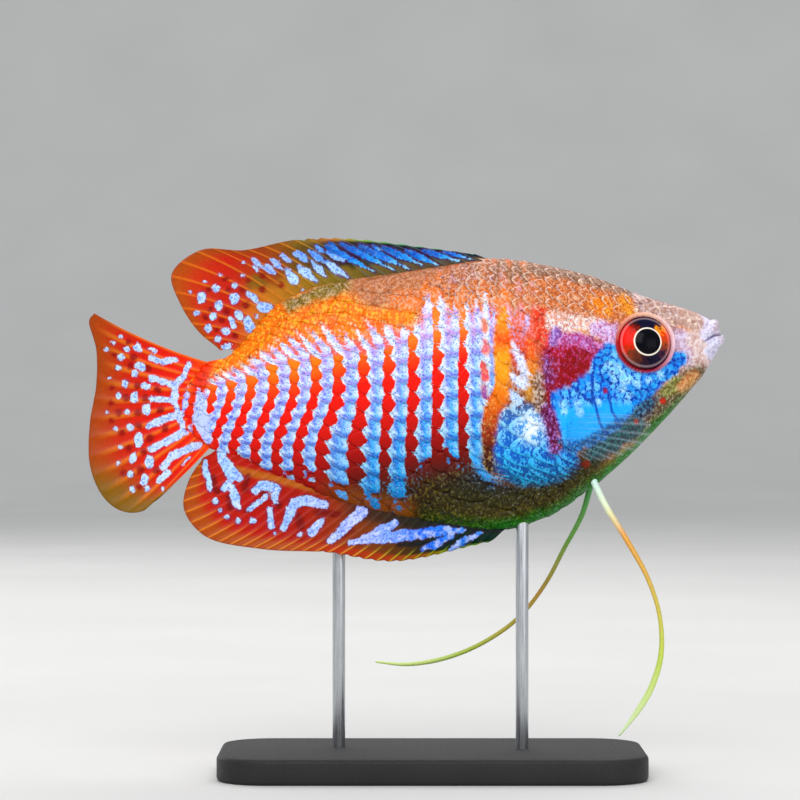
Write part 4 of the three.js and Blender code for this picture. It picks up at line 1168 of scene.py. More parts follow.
finMarks = {  # in the photo's pixels: (x, y, half width) for a dot, [line, half widths] for a longer mark
    "dorsalPale": [  # the rear lobe's dots, bars and lenses
        [[(202, 296), (202, 300)], 3.8], (216, 288, 3.6), (235, 285, 3.2), [[(219, 304), (219, 307)], 4.2],
        [[(234, 297), (235, 300)], 4.2], (197, 313, 2.8), (213, 317, 4), [[(238, 314), (240, 318)], 3.4],
        [[(231, 319), (234, 326)], 2.6], (208, 328, 3.6), (226, 331, 4), (218, 339, 3.6),
        [[(225, 347), (229, 346)], 3.2], (190, 292, 1.6), (205, 281, 1.8), (221, 274, 2), (243, 275, 2.2),
        (243, 263, 1.6), [[(254, 259), (260, 265)], 2.8], [[(254, 267), (257, 271)], 2],
        [[(273, 260), (281, 267)], [2, 3.4, 2]], [[(281, 255), (291, 262)], [1.6, 3, 1.6]],
        [[(296, 254), (306, 260)], [2.4, 3.8, 2.4]], [[(310, 252), (322, 260)], [2, 3.6, 2]],
        [[(317, 247), (322, 251)], 2.2], [[(328, 252), (343, 261)], [1.4, 3, 1.4]],
        [[(267, 266), (274, 273)], [2.6, 4, 2.6]], [[(287, 271), (296, 282)], [2.6, 5, 3]],
        [[(298, 266), (316, 281)], [1.6, 4, 1.4]], [[(312, 262), (325, 276)], [1.4, 3.4, 1.6]],
        [[(327, 262), (336, 269), (348, 278)], [2, 4.4, 1]], [[(262, 307), (274, 310)], 4.5],
        [[(247, 320), (250, 328)], [4, 5]], [[(249, 293), (256, 301)], 2.8], (257, 316, 2.2),
        (302, 291, 1.6),
    ],
    "dorsalDark": [
        (226, 279, 3), (241, 290, 3), (249, 281, 3), (209, 290, 3), (228, 290, 3), (210, 309, 3),
        (227, 312, 3.4), (205, 318, 3), (222, 320, 3), (246, 305, 3), (217, 330, 3), (235, 336, 3),
        (263, 276, 3.6), (262, 290, 3.6), (281, 285, 3.2), (282, 268, 3),
    ],
    "dorsalStreaks": [  # tapered strokes of the front: [upper end, lower end, half width]
        [(329, 243), (346, 260), 2.2], [(326, 246), (375, 272), 2.6], [(341, 244), (394, 270), 2.7],
        [(360, 246), (409, 269), 2.9], [(383, 248), (422, 265), 2.9], [(406, 251), (438, 265), 2.6],
        [(423, 251), (459, 261), 2.2], [(444, 252), (472, 259.5), 1.5], [(372, 246), (380, 250), 1.6],
    ],
    "analPale": [
        [[(205.5, 462), (206.5, 475), (210.5, 489)], 2.7], (215.5, 501, 3.2), (221.5, 510.5, 2.4),
        (227.5, 517.5, 2.4), (238, 521.5, 2.8), (252.5, 521, 3), (276, 534, 1.6), (300.5, 534, 2.8),
        [[(219, 440), (224, 460), (231, 473), (239, 478)], [3.5, 5, 6.6, 4]],
        [[(231, 480), (224, 489)], 3.4], [[(233, 489), (236, 501), (239, 509)], [4, 4, 2.6]],
        [[(254, 491), (262, 485), (276, 489), (275, 501)], [4, 5, 5, 3]], [[(249, 510), (266, 497)], 2.6],
        [[(270, 510), (270, 520), (272, 527)], 3.2],
        [[(284, 528), (294, 504), (306, 500), (325, 505)], [3, 5.6, 5.6, 4]], [[(311, 532), (321, 522)], 4],
        [[(330, 541), (346, 527), (361, 512)], [3, 5, 6.5]],
        [[(374, 534), (384, 529), (395, 523)], [4, 4.5, 3.4]],
        [[(351, 543), (372, 538), (392, 537), (412, 535), (434, 531), (463, 530)], [3, 5, 6, 5.5, 5, 2.5]],
        [[(422, 550), (436, 543), (452, 536)], [1.6, 4, 3]],
        [[(450, 550), (464, 541), (480, 533)], [1.4, 3, 1.6]],
    ],
    "analDark": [
        [[(212, 478), (218, 492)], 3], [[(229, 497), (231, 508)], 3], (247, 512, 3),
        [[(244, 490), (248, 476)], 3], [[(264, 488), (262, 494)], 3], (279, 505, 3.4),
        [[(299, 517), (300, 526)], 4], [[(318, 512), (338, 514)], 3.6], [[(338, 536), (352, 530)], 3],
        [[(376, 538), (392, 533)], 2.6], [[(400, 545), (450, 541)], 2.6],
    ],
    "caudalPale": [
        [[(151, 357), (162, 362), (174, 360)], 3.2], [[(151, 378), (165, 382), (176, 386)], 3.2],
        [[(152, 399), (173, 400)], 3.2], [[(149, 426), (163, 420), (180, 413)], 3.6],
        [[(152, 449), (168, 441), (184, 432)], 3.6], [[(163, 467), (174, 455), (198, 445)], 3.6],
        [[(160, 480), (168, 473)], 3],
        [[(189, 364), (184, 376), (175, 386), (174, 400), (179, 412), (182, 424), (185, 433)], 3],
        [[(183, 465), (190, 458)], 1.2], [[(150, 349), (155, 351)], 1.8], [[(136, 348), (139, 350)], 2.2],
        (121, 336, 2.2), (113, 343, 2.4), (106, 350, 2.2), (127, 349, 3.2), (137, 347, 3.6),
        (120, 357, 3.6), (118, 368, 2.6), [[(138, 366), (142, 367)], 3.8], (134, 374, 3.6),
        [[(125, 382), (125, 385)], 3.2], [[(145, 386), (147, 387)], 3.8], (119, 396, 3),
        [[(134, 396), (134, 399)], 3.6], (127, 412, 3.2), [[(146, 407), (146, 412)], 3.6], (130, 427, 3.6),
        (115, 430, 2.6), [[(139, 437), (139, 442)], 4.2], (120, 447, 2.6), [[(134, 455), (133, 460)], 3.4],
        [[(150, 459), (149, 464)], 3.6], (119, 464, 2.2), (131, 474, 3.2), [[(146, 478), (145, 481)], 3.6],
        (133, 489, 2.6), (148, 489, 2.6), (110, 378, 2), (107, 412, 2), (163, 489, 2.4),
    ],
    "caudalDark": [
        (133, 357, 3.4), (148, 368, 3.6), (130, 366, 3), (137, 386, 3.6), (145, 398, 3.4), (126, 398, 3.2),
        (138, 413, 3.4), (119, 413, 3), (138, 425, 3.4), (122, 433, 3), (150, 438, 3.6), (128, 448, 3.2),
        (144, 452, 3.4), (141, 470, 3.4), (124, 473, 3), (156, 470, 3.4), (140, 486, 3), (128, 341, 2.6),
        (113, 355, 2.6), (112, 388, 2.6), (111, 403, 2.6), (112, 421, 2.6), (157, 390, 3.2),
        (160, 410, 3.2), (165, 428, 3),
    ],
}


def paintDorsal(x, z, v, nearRay):
    rear = ease(-9, -13, x)
    warm = ramp(x, [[-29, "#d03c08"], [-21, "#c81e04"], [-17, "#a83806"], [-13, "#6c4c0c"], [-9, "#3c2a10"],
                    [-4, "#060a12"], [5, "#040c18"], [9, "#0c2030"]])
    olive = ease(1.6, 0.6, nearLine(seen([(256, 284), (270, 300), (300, 296), (322, 292)]), x, z)[0])
    warm = mixed(warm, "#74600c", 0.8 * olive)
    rootTint = ramp(x, [[-22, "#e85408"], [-16, "#c07414"], [-10, "#8a7014"], [-4, "#6c581c"],
                        [4, "#584a38"]])
    warm = mixed(warm, rootTint, ease(0.3, 0.12, v + 0.15 * wander(x, z, 0.9, 60)) * ease(-21, -18, x))
    edgeTint = ramp(x, [[-27, "#b84c02"], [-17, "#9a3c06"], [-12, "#7c6410"], [-9, "#c06a08"],
                        [-5, "#88b040"], [0, "#5cb080"], [4, "#88b890"], [8, "#a8c0b0"]])
    warm = mixed(warm, edgeTint, ease(0.8 - 0.08 * rear, 0.97, v))
    rayTint = ramp(x, [[-29, "#e86808"], [-14, "#d87c18"], [-10, "#a09030"], [-4, "#2c7088"], [8, "#70a098"]])
    warm = mixed(warm, rayTint, ease(0.12, 0.02, nearRay) * (0.6 * rear + 0.3))
    warm = mixed(warm, "#8c0402", 0.9 * rear * ease(-0.1, 0.1, marked(finMarks["dorsalDark"], x, z)))
    pale = marked(finMarks["dorsalPale"], x, z)
    streak = np.full(np.shape(x), -9.0)
    low = 0 * x
    for upper, lower, reach in finMarks["dorsalStreaks"]:
        away, _, along = nearLine(seen([upper, lower]), x, z)
        swell = 0.3 + 0.9 * np.sin(np.clip(along * 1.15 + 0.1, 0, 1) * np.pi) ** 0.7
        inside = reach * view["finPixel"] * swell - away
        low = np.where(inside > streak, along, low)
        streak = np.maximum(streak, inside)
    spotted = ramp(x, [[-29, "#c4e4ff"], [-19, "#b8d8fc"], [-14, "#98bcfa"], [-10, "#54a0f8"]])
    streaked = ramp(low + 0.3 * wander(x, z, 0.4, 62),
                    [[0, "#0450a4"], [0.35, "#0874d8"], [0.7, "#2ca8f4"], [1, "#a8ecff"]])
    cool = mixed(spotted, streaked, (streak > pale).astype(float))
    cool = mixed(cool, "#d4f4ff", 0.6 * ease(0.5, 0.25, v + 0.3 * wander(x, z, 0.3, 61))
                 * ease(-17, -13, x) * (streak < pale))
    warm = mixed(warm, "#401060", 0.8 * ease(-0.22, -0.05, streak) * ease(-11, -7, x))
    halo = 0.7 * ease(-0.2, -0.04, pale) * (1 - rear) + 0.35 * ease(-0.14, -0.03, pale) * rear
    warm = mixed(warm, "#603890", halo)
    return warm, cool, np.maximum(pale, streak) + 0.06 * wander(x, z, 0.4, 63), ease(0.93, 1.0, v) * 0.18


def paintAnal(x, z, v, nearRay):
    warm = ramp(x, [[-26, "#c42004"], [-18, "#b81000"], [-12, "#a81800"], [-8, "#983004"], [-4, "#7c3804"],
                    [0, "#4a2c08"], [3, "#142418"], [6, "#06241e"], [10, "#082c20"]])
    line = ease(0.7, 0.2, nearLine(seen([(238, 470), (280, 480), (330, 492)]), x, z)[0])
    warm = mixed(warm, "#c06a14", 0.8 * line)
    warm = mixed(warm, "#141c18", 0.75 * ease(0.3, 0.08, v) * ease(-9, -5, x))
    edgeTint = ramp(x, [[-26, "#b04804"], [-14, "#ac4404"], [-8, "#b42c04"], [-2, "#ac3804"], [2, "#a05c08"],
                        [5, "#8a9408"], [8, "#60a008"], [10, "#548410"]])
    warm = mixed(warm, edgeTint, ease(0.7 + 0.06 * ease(-6, 0, x), 0.86, v))
    tick = ramp(x, [[-26, "#f08a20"], [-8, "#f0a030"], [-2, "#d0c028"], [5, "#a0c828"], [10, "#b06a28"]])
    warm = mixed(warm, tick, 0.8 * ease(0.14, 0.04, nearRay) * ease(0.55, 0.85, v))
    dark = ease(-0.12, 0.12, marked(finMarks["analDark"], x, z))
    warm = mixed(warm, "#780402", 0.85 * dark * ease(-4, -8, x))
    warm = mixed(warm, "#04141c", 0.8 * dark * ease(-7, -4, x))
    cool = ramp(x, [[-24, "#b0d8fa"], [-14, "#a8ccf8"], [-6, "#b8c4fa"], [-2, "#84acfa"], [2, "#1c78f4"],
                    [8, "#3c90f0"]])
    cool = mixed(cool, "#e4ecff", 0.5 * ease(0.55, 0.75, grain(x, z, 0.5, 64)))
    pale = marked(finMarks["analPale"], x, z)
    warm = mixed(warm, "#50206c", 0.5 * ease(-0.18, -0.03, pale))
    return warm, cool, pale + 0.08 * wander(x, z, 0.4, 71), ease(0.93, 1.0, v) * 0.18


def paintCaudal(x, z, v, nearRay):
    warm = ramp(v, [[0, "#f04800"], [0.2, "#f42400"], [0.45, "#e01400"], [0.74, "#cc2200"],
                    [0.86, "#b83800"], [1, "#a84400"]])
    low = ease(38, 33, z) * ease(0.55, 0.9, v)
    warm = mixed(warm, "#6c6404", 0.7 * low)
    rayTint = ramp(v, [[0, "#ff6a10"], [0.6, "#f07008"], [1, "#c07820"]])
    warm = mixed(warm, rayTint, 0.9 * ease(0.2, 0.06, nearRay) * ease(0.97, 0.75, v))
    warm = mixed(warm, "#980402", 0.95 * ease(-0.2, 0.05, marked(finMarks["caudalDark"], x, z)))
    cool = ramp(v, [[0, "#c4d4ff"], [0.4, "#c8e0ff"], [0.8, "#bcdcf8"]])
    pale = marked(finMarks["caudalPale"], x, z)
    warm = mixed(warm, "#8c3468", 0.4 * ease(-0.14, -0.03, pale))
    return warm, cool, pale + 0.08 * wander(x, z, 0.4, 75), ease(0.93, 1.0, v) * 0.12


def paintPectoral(x, z, v, nearRay):
    warm = ramp(v, [[0, "#2a9ae0"], [0.4, "#8ac8e8"], [1, "#c0ccd0"]])
    clear = 0.97 - 0.13 * ease(0.2, 0.03, nearRay) * ease(0.05, 0.2, v) - 0.3 * ease(0.16, 0, v)
    return warm, warm, 0 * v - 1, clear


finPaint = {"dorsal": paintDorsal, "anal": paintAnal, "caudal": paintCaudal, "pectoral": paintPectoral}


# Eyes: a flattened, glazed ball a side, its iris painted through a map of its own

eye = {
    "x": 27.8, "z": 50.7, "radius": 3.32, "depth": 1.5, "proud": 0.75, "reach": 3.4,
    "rimFrom": 3.1, "rimTo": 3.58, "rimHeight": 0.34, "rimHalf": 0.32, "socket": 1.2, "tintAt": 3.24,
    "creaseAt": 3.8, "creaseWidth": 0.18, "creaseDepth": 0.1, "skinFrom": 3.7, "skinTo": 4.3, "near": 5.5,
    "pupilRise": 0.16, "pupilShare": 0.46, "irisReach": 0.48, "pupilAhead": 0.024,
}


def makeEye(side):
    clearSelection()
    bpy.ops.mesh.primitive_uv_sphere_add(segments=128, ring_count=72, radius=1)
    piece = named("eyeLeft" if side > 0 else "eyeRight")
    co = verticesOf(piece) * mm  # its poles point along Z, which becomes the way that it looks
    centre, look = eyeFrame(side)
    centre = centre + look * (eye["proud"] - eye["depth"])
    forward = np.array([1, 0, 0]) - look[0] * look
    forward /= np.linalg.norm(forward)
    up = np.cross(look, forward) * -side
    up = up if up[2] > 0 else -up
    pupil = eye["pupilRise"] * np.exp(-((np.hypot(co[:, 0], co[:, 1]) / eye["pupilShare"]) ** 4))
    out = co[:, 2] * eye["depth"] * (1 + pupil * (co[:, 2] > 0))
    place(piece, centre + (co[:, :1] * forward + co[:, 1:2] * up) * eye["radius"] + out[:, None] * look)
    flat = 0.5 + co[:, :2] * np.where(co[:, 2:] > -0.05, 1, 0.96) * eye["irisReach"]
    newMap(piece, "iris", flat[cornersOf(piece)])
    edited(piece, outwards)
    return piece


# Feelers: the two thread-like pelvic fins

feelers = {
    "right": {
        "line": [[21.7, -1.2, 35], [23.2, -2.2, 31.8], [25.7, -3.8, 27.6], [28, -5.1, 23.3], [29.3, -6.1, 19],
                 [29.4, -6.8, 14.5], [28.2, -7, 10.6], [26.4, -6.9, 7.6], [24.5, -6.6, 5.1]],
        "radii": [[0, 0.42], [0.25, 0.33], [0.55, 0.26], [0.85, 0.38], [1, 0.12]],
        "tints": [[0, "#d8f4f0"], [0.12, "#e8f0d0"], [0.25, "#e8b030"], [0.45, "#d8c040"], [0.7, "#c8d850"],
                  [1, "#e4f4d0"]],
    },
    "left": {
        "line": [[21.8, 1.2, 34.2], [20.8, 2.3, 30.5], [18.7, 3.9, 26.3], [16.5, 5.3, 22], [13.3, 6.3, 17.9],
                 [8.9, 6.9, 14.8], [4.4, 7.3, 13], [0, 7.6, 12.3], [-3.8, 7.8, 12.6]],
        "radii": [[0, 0.38], [0.25, 0.28], [0.6, 0.26], [0.85, 0.26], [1, 0.12]],
        "tints": [[0, "#30a040"], [0.2, "#6aa838"], [0.4, "#c8a030"], [0.7, "#b8c840"], [1, "#d8e898"]],
    },
    "steps": 150, "sides": 16, "joints": 64,
}


def makeFeeler(name, spec):  # a grid rolled into a tube along the line, with faint joints
    steps, sides = feelers["steps"], feelers["sides"]
    curve = curveThrough(spec["line"])
    fine = curve(np.linspace(0, 1, 1200))
    gone = lengthAlong(fine)
    share = np.linspace(0, 1, steps + 1)
    centres = np.stack([np.interp(share, gone / gone[-1], fine[:, k]) for k in range(3)], -1)
    tangents = np.gradient(centres, axis=0)
    tangents /= np.linalg.norm(tangents, axis=1, keepdims=True)
    side = np.cross(tangents, [0, 0, 1.0])
    side /= np.linalg.norm(side, axis=1, keepdims=True)
    up = np.cross(side, tangents)
    radius = through(spec["radii"])(share) * (1 + 0.05 * np.sin(share * feelers["joints"] * 2 * np.pi))
    radius[[0, -1]] *= 0.02
    piece, along, around = grid("feeler" + name.capitalize(), steps, sides)
    i, j = np.round(along * steps).astype(int), np.round(around * sides).astype(int)
    turn = (j % sides) / sides * 2 * np.pi
    ring = np.cos(turn)[:, None] * side[i] + np.sin(turn)[:, None] * up[i]
    place(piece, centres[i] + radius[i][:, None] * ring)
    store(piece, "share", share[i])
    bakeMap(piece, np.stack([0.01 + 0.98 * along, 0.01 + 0.98 * around], -1))
    edited(piece, (bpy.ops.mesh.remove_doubles, {"threshold": 1e-6}), outwards)
    return piece


# Stand: a black base with rounded corners and two steel rods

stand = {"x": 3, "length": 50, "width": 25, "thickness": 3, "corner": 6, "bevel": 0.5, "sink": 0.3}
rods = {  # by the end of their nodes' names; "into" is how far a rod reaches into the body
    "Front": {"x": 13.6, "y": 0, "radius": 0.75, "into": 1.6},
    "Rear": {"x": -8, "y": 2.3, "radius": 0.75, "into": 5.2},
}


def makeStandBase():
    clearSelection()
    bpy.ops.mesh.primitive_cube_add(size=1)
    piece = named("standBase")
    size = np.array([stand["length"], stand["width"], stand["thickness"]])
    place(piece, verticesOf(piece) * mm * size + [stand["x"], 0, stand["thickness"] / 2])
    bpy.ops.object.mode_set(mode="EDIT")
    bpy.ops.mesh.select_mode(type="EDGE")
    bpy.ops.mesh.select_all(action="DESELECT")
    bpy.ops.object.mode_set(mode="OBJECT")
    for edge in piece.data.edges:
        a, b = (piece.data.vertices[v].co for v in edge.vertices)
        edge.select = abs(a.z - b.z) > mm
    bpy.ops.object.mode_set(mode="EDIT")
    bpy.ops.mesh.bevel(offset=stand["corner"] * mm, segments=14, affect="EDGES")
    bpy.ops.mesh.select_mode(type="VERT")
    bpy.ops.object.mode_set(mode="OBJECT")
    applied(piece, "BEVEL", width=stand["bevel"] * mm, segments=4, limit_method="ANGLE", angle_limit=1.0)
    return piece


def makeRod(name, spec):
    foot = stand["thickness"] - stand["sink"]
    top = float(bellyAt(spec["x"])) + spec["into"]
    clearSelection()
    bpy.ops.mesh.primitive_cylinder_add(vertices=48, radius=1, depth=1)
    piece = named("standRod" + name)
    size = np.array([spec["radius"], spec["radius"], top - foot])
    place(piece, verticesOf(piece) * mm * size + [spec["x"], spec["y"], (foot + top) / 2])
    applied(piece, "BEVEL", width=0.12 * mm, segments=3, limit_method="ANGLE", angle_limit=1.0)
    return piece


# Finishes

def glazedSkin():
    # Fish skin under a clear museum glaze: a wet shine, fine pigment specks and shallow relief.
    material, tree = newMaterial("glazed fish skin")
    base, where = paintedBase(tree, {
        "ragged": 0.09, "crisp": 0.07, "speckSize": 0.16,  # coarser than real pigment cells, to show
        "warmSpecks": [[0, "#a07a78"], [0.3, "#d8d0d0"], [0.7, "#ffffff"], [1, "#ffffff"]],
        "coolSpecks": [[0, "#8498ec"], [0.16, "#b8c4fa"], [0.38, "#f0f4ff"], [0.7, "#ffffff"],
                       [1, "#ffffff"]],
        # glints: painted highlights, screened over the cool colour
        "glints": [[0.8, "#000000"], [1, "#707880"]],
    })
    fine = node(tree, "TexNoise", Vector=where, Scale=1 / (0.22 * mm), Detail=2.0)
    bump = node(tree, "Bump", Strength=0.3, Distance=0.04 * mm, Height=fine)
    rough = node(tree, "MapRange", {}, fine, 0.3, 0.7, 0.34, 0.5)
    glaze = node(tree, "BsdfPrincipled", Base_Color=base, Roughness=rough, Specular_IOR_Level=0.1,
                 Coat_Weight=0.07, Coat_Roughness=0.12, Normal=bump)
    node(tree, "OutputMaterial", Surface=glaze)
    return material


def finMembrane(name, roughness):
    # Cast fin membrane: thin, glossy and a little see-through at its edge.
    material, tree = newMaterial(name)
    base, where = paintedBase(tree, {
        "ragged": 0.05, "crisp": 0.06, "speckSize": 0.2,
        "warmSpecks": [[0, "#909090"], [0.4, "#e0e0e0"], [1, "#ffffff"]],
        "coolSpecks": [[0, "#8c9cec"], [0.25, "#c0ccfc"], [0.5, "#ffffff"], [1, "#ffffff"]],
        # glints: painted highlights, screened over the cool colour
        "glints": [[0.8, "#000000"], [1, "#606468"]],
    })
    fine = node(tree, "TexNoise", Vector=where, Scale=1 / (0.25 * mm), Detail=2.0)
    bump = node(tree, "Bump", Strength=0.25, Distance=0.04 * mm, Height=fine)
    clear = node(tree, "Attribute", {"attribute_name": "clear"}).outputs["Fac"]
    solid = node(tree, "Math", {"operation": "SUBTRACT"}, 1.0, clear)
    web = node(tree, "BsdfPrincipled", Base_Color=base, Roughness=roughness, Specular_IOR_Level=0.1,
               Coat_Weight=0.05, Coat_Roughness=0.12, Alpha=solid, Normal=bump)
    node(tree, "OutputMaterial", Surface=web)
    return material


def glassEye():
    # Painted iris under polished clear resin: deep colours and a sharp highlight.
    material, tree = newMaterial("polished resin eye")
    uv = node(tree, "UVMap", {"uv_map": "iris"})
    centred = node(tree, "VectorMath", {"operation": "SUBTRACT"}, uv, (0.5, 0.5, 0.0))
    split = node(tree, "SeparateXYZ", {}, centred).outputs
    wobble = node(tree, "TexNoise", Vector=centred, Scale=14.0, Detail=3.0)
    length = node(tree, "VectorMath", {"operation": "LENGTH"}, centred)
    radius = node(tree, "MapRange", {}, length, 0.0, eye["irisReach"], 0.0, 1.0)
    angle = node(tree, "Math", {"operation": "ARCTAN2"}, split[1], split[0])
    turn = node(tree, "MapRange", {}, angle, -math.pi, math.pi, 0.0, 1.0)
    moved = node(tree, "MapRange", {}, wobble, 0.3, 0.7, -0.045, 0.045)
    around = node(tree, "Math", {"operation": "ADD"}, turn, moved)
    iris = node(tree, "ValToRGB", {"stops": [
        [0, "#f01400"], [0.06, "#d83008"], [0.1, "#8a3a1c"], [0.17, "#6a3420"], [0.23, "#301428"],
        [0.3, "#08082a"], [0.37, "#221238"], [0.43, "#54283c"], [0.48, "#b04c1c"], [0.56, "#ec4400"],
        [0.61, "#ffa820"], [0.65, "#7a3410"], [0.68, "#0a0c34"], [0.79, "#0c0c34"], [0.83, "#40100c"],
        [0.87, "#c01c00"], [0.92, "#f01800"], [1, "#f01400"],
    ]}, around)
    threads = node(tree, "TexNoise", Vector=centred, Scale=38.0, Detail=4.0, Distortion=1.5)
    shade = node(tree, "ValToRGB", {"stops": [[0.35, "#6a6a6a"], [0.65, "#c0a890"]]}, threads)
    marbled = node(tree, "Mix", {"data_type": "RGBA", "blend_type": "OVERLAY"}, 0.6, iris, shade)
    # A pale ring screened over the iris's outer edge: a painted reflection
    rimReflection = node(tree, "ValToRGB", {"stops": [
        [0.5, "#000000"], [0.8, "#000000"], [0.86, "#c8b0b8"], [0.9, "#6a3040"], [0.96, "#2a0810"],
    ]}, radius)
    rimmed = node(tree, "Mix", {"data_type": "RGBA", "blend_type": "SCREEN"}, 0.4, marbled, rimReflection)
    edge = node(tree, "ValToRGB", {"stops": [[0.0, "#000000"], [0.9, "#000000"], [0.97, "#ffffff"]]}, radius)
    outer = node(tree, "Mix", {"data_type": "RGBA"}, edge, rimmed, "#3a0612")
    forward = node(tree, "VectorMath", {"operation": "SUBTRACT"}, uv, (0.5 + eye["pupilAhead"], 0.5, 0.0))
    away = node(tree, "VectorMath", {"operation": "LENGTH"}, forward)
    pupilRadius = node(tree, "MapRange", {}, away, 0.0, eye["irisReach"], 0.0, 1.0)
    ring = node(tree, "ValToRGB", {"stops": [
        [0.452, "#000000"], [0.462, "#ffffff"], [0.488, "#ffffff"], [0.52, "#000000"],
    ]}, pupilRadius)
    ringed = node(tree, "Mix", {"data_type": "RGBA"}, ring, outer, "#fff2e0")
    inside = node(tree, "ValToRGB", {"stops": [[0.45, "#ffffff"], [0.46, "#000000"]]}, pupilRadius)
    pupil = node(tree, "Mix", {"data_type": "RGBA"}, inside, ringed, "#01010a")
    resin = node(tree, "BsdfPrincipled", Base_Color=pupil, Roughness=0.2, Specular_IOR_Level=0.08,
                 Coat_Weight=0.03, Coat_Roughness=0.03)
    node(tree, "OutputMaterial", Surface=resin)
    return material


def threadFlesh(name, stops):
    # Smooth fin ray under glaze, tinted along its length.
    material, tree = newMaterial(name)
    share = node(tree, "Attribute", {"attribute_name": "share"}).outputs["Fac"]
    colour = node(tree, "ValToRGB", {"stops": stops}, share)
    where = node(tree, "TexCoord").outputs["Object"]
    fine = node(tree, "TexNoise", Vector=where, Scale=1 / (0.3 * mm), Detail=2.0)
    shade = node(tree, "ValToRGB", {"stops": [[0.3, "#6a6a6a"], [0.7, "#9a9a9a"]]}, fine)
    mottled = node(tree, "Mix", {"data_type": "RGBA", "blend_type": "OVERLAY"}, 0.5, colour, shade)
    flesh = node(tree, "BsdfPrincipled", Base_Color=mottled, Roughness=0.35, Coat_Weight=0.2)
    node(tree, "OutputMaterial", Surface=flesh)
    return material


def mouldedPlastic():
    # Black ABS with a fine moulded grain, about 0.3 mm, drawn coarse enough to show.
    material, tree = newMaterial("moulded black plastic")
    where = node(tree, "TexCoord").outputs["Object"]
    pits = node(tree, "TexNoise", Vector=where, Scale=1 / (0.3 * mm), Detail=2.0)
    bump = node(tree, "Bump", Strength=0.25, Distance=0.03 * mm, Height=pits)
    cloud = node(tree, "TexNoise", Vector=where, Scale=1 / (9 * mm))
    tone = node(tree, "ValToRGB", {"stops": [[0.3, "#191817"], [0.7, "#211f1e"]]}, cloud)
    rough = node(tree, "MapRange", {}, pits, 0.3, 0.7, 0.5, 0.65)
    plastic = node(tree, "BsdfPrincipled", Base_Color=tone, Roughness=rough, Specular_IOR_Level=0.35,
                   Normal=bump)
    node(tree, "OutputMaterial", Surface=plastic)
    return material


def brushedSteel():
    # Stainless rod, drawn along its length: scratches, coarse enough to show, that stretch the highlight.
    material, tree = newMaterial("brushed stainless steel")
    where = node(tree, "TexCoord").outputs["Object"]
    drawn = node(tree, "Mapping", Vector=where, Scale=(1.0, 1.0, 0.03))
    lines = node(tree, "TexNoise", Vector=drawn, Scale=1 / (0.12 * mm), Detail=2.0)
    rough = node(tree, "MapRange", {}, lines, 0.3, 0.7, 0.22, 0.38)
    tone = node(tree, "ValToRGB", {"stops": [[0.3, "#a9acb0"], [0.7, "#c9ccd0"]]}, lines)
    steel = node(tree, "BsdfPrincipled", Base_Color=tone, Metallic=1.0, Roughness=rough)
    node(tree, "OutputMaterial", Surface=steel)
    return material


def paleStudio():
    # Matt studio paper, faintly mottled so that it isn't one flat tone.
    material, tree = newMaterial("matt studio paper")
    where = node(tree, "TexCoord").outputs["Object"]
    cloud = node(tree, "TexNoise", Vector=where, Scale=1 / (60 * mm))
    tone = node(tree, "ValToRGB", {"stops": [[0.3, "#d3d2cf"], [0.7, "#d8d7d4"]]}, cloud)
    paper = node(tree, "BsdfPrincipled", Base_Color=tone, Roughness=0.85)
    node(tree, "OutputMaterial", Surface=paper)
    return material


# Stage, light and camera

studio = {"reach": 3000, "sweepFrom": 900, "sweepRadius": 600, "wall": 2600}


def makeStage():
    floor, across, up = grid("studioSweep", 6, 80)
    flat, turn = 0.4, 0.75
    arc = np.clip((up - flat) / (turn - flat), 0, 1) * np.pi / 2
    y = np.where(up < flat, -studio["reach"] + up / flat * (studio["reach"] + studio["sweepFrom"]),
                 studio["sweepFrom"] + studio["sweepRadius"] * np.sin(arc))
    z = studio["sweepRadius"] * (1 - np.cos(arc)) + np.clip((up - turn) / (1 - turn), 0, 1) * studio["wall"]
    place(floor, np.stack([(across - 0.5) * 2 * studio["reach"], y, z], -1))
    dressed(floor, paleStudio())


lamps = [  # name, place, aim, side of the square and power in watts
    ["keyLight", (-120, -560, 460), (4, 0, 45), 500, 2.6],
    ["fillLight", (420, -460, 120), (4, 0, 40), 420, 0.6],
    ["topLight", (60, 260, 520), (4, 0, 45), 420, 1.5],
    ["backLight", (-380, 420, 260), (0, 0, 40), 420, 0.8],
]


def makeLights():
    for name, at, aim, size, power in lamps:
        lamp = bpy.data.lights.new(name, "AREA")
        lamp.size, lamp.energy = size * mm, power
        thing = added(name, lamp)
        thing.location = np.array(at) * mm
        back = np.array(at, float) - np.array(aim, float)
        thing.rotation_euler = (math.atan2(math.hypot(back[0], back[1]), back[2]), 0,
                                math.atan2(back[1], back[0]) + math.pi / 2)
    world = bpy.data.worlds.new("softRoom")
    world.use_nodes = True
    world.node_tree.nodes["Background"].inputs["Color"].default_value = (*linear("#e8ebf0"), 1)
    world.node_tree.nodes["Background"].inputs["Strength"].default_value = 0.8
    bpy.context.scene.world = world


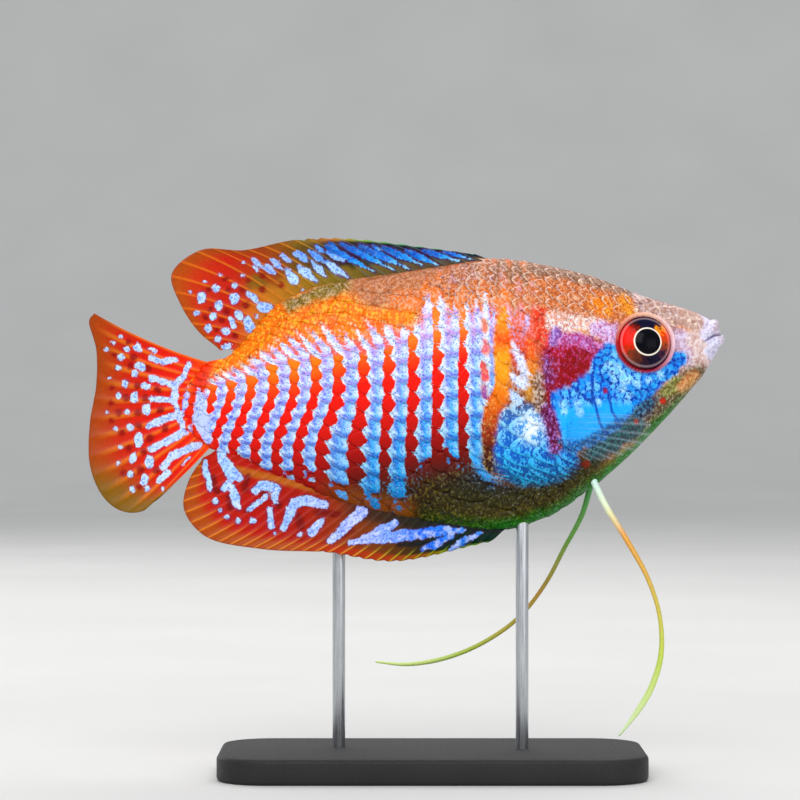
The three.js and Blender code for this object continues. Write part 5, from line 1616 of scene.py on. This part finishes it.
def makeCamera():
    lens = bpy.data.cameras.new("camera")
    lens.lens, lens.sensor_width = view["lens"], view["sensor"]
    camera = added("camera", lens)
    camera.location = (view["x"] * mm, -view["distance"] * mm, view["z"] * mm)
    camera.rotation_euler = (math.pi / 2, 0, 0)
    lens.clip_start, lens.clip_end = 0.01, 20
    bpy.context.scene.camera = camera
    bpy.context.scene.view_settings.view_transform = "Standard"


# The model

template = plateTemplate()
skinFinish = glazedSkin()
finished(makeSkin(), skinFinish, "skin", "head", "trunk", "tail_stalk", "upper_lip", "lower_jaw",
         "gill_cover_right", "gill_cover_left")
print("skin made")
for side in (-1, 1):
    makeFlankScales(side, skinFinish)
makeNapeScales(skinFinish)
makeCheekScales(skinFinish)
print("scales laid")
membrane = finMembrane("glossy fin membrane", 0.3)
clearMembrane = finMembrane("clear fin membrane", 0.2)
for name in ("dorsal", "anal", "caudal"):
    finished(makeFin(name, fins[name]), membrane, "fins", name + "_fin")
rightPectoral = makeFin("pectoral", fins["pectoral"])
rightPectoral.name = "pectoralRight"
activate(rightPectoral)
bpy.ops.object.duplicate()
leftPectoral = bpy.context.active_object
leftPectoral.name = "pectoralLeft"
place(leftPectoral, verticesOf(leftPectoral) * [1, -1, 1])
edited(leftPectoral, (bpy.ops.mesh.flip_normals, {}))
finished(rightPectoral, clearMembrane, "clear_fins", "pectoral_fin_right")
finished(leftPectoral, clearMembrane, "clear_fins", "pectoral_fin_left")
print("fins made")
eyeFinish = glassEye()
for side, name in ((-1, "eye_right"), (1, "eye_left")):
    finished(makeEye(side), eyeFinish, "eyes", name)
for name, tint in (("right", "yellow"), ("left", "green")):
    thread = threadFlesh("glazed feeler, " + tint, feelers[name]["tints"])
    nodes = [f"pelvic_feeler_{name}_{i}" for i in (1, 2, 3)]
    finished(makeFeeler(name, feelers[name]), thread, "feelers", *nodes)
print("feelers made")
finished(makeStandBase(), mouldedPlastic(), "stand_base", "stand_base")
steel = brushedSteel()
for name, spec in rods.items():
    finished(makeRod(name, spec), steel, "stand_rods", "stand_rod_" + name.lower())
makeStage()
makeLights()
makeCamera()
print("stand, stage, lights and camera made")
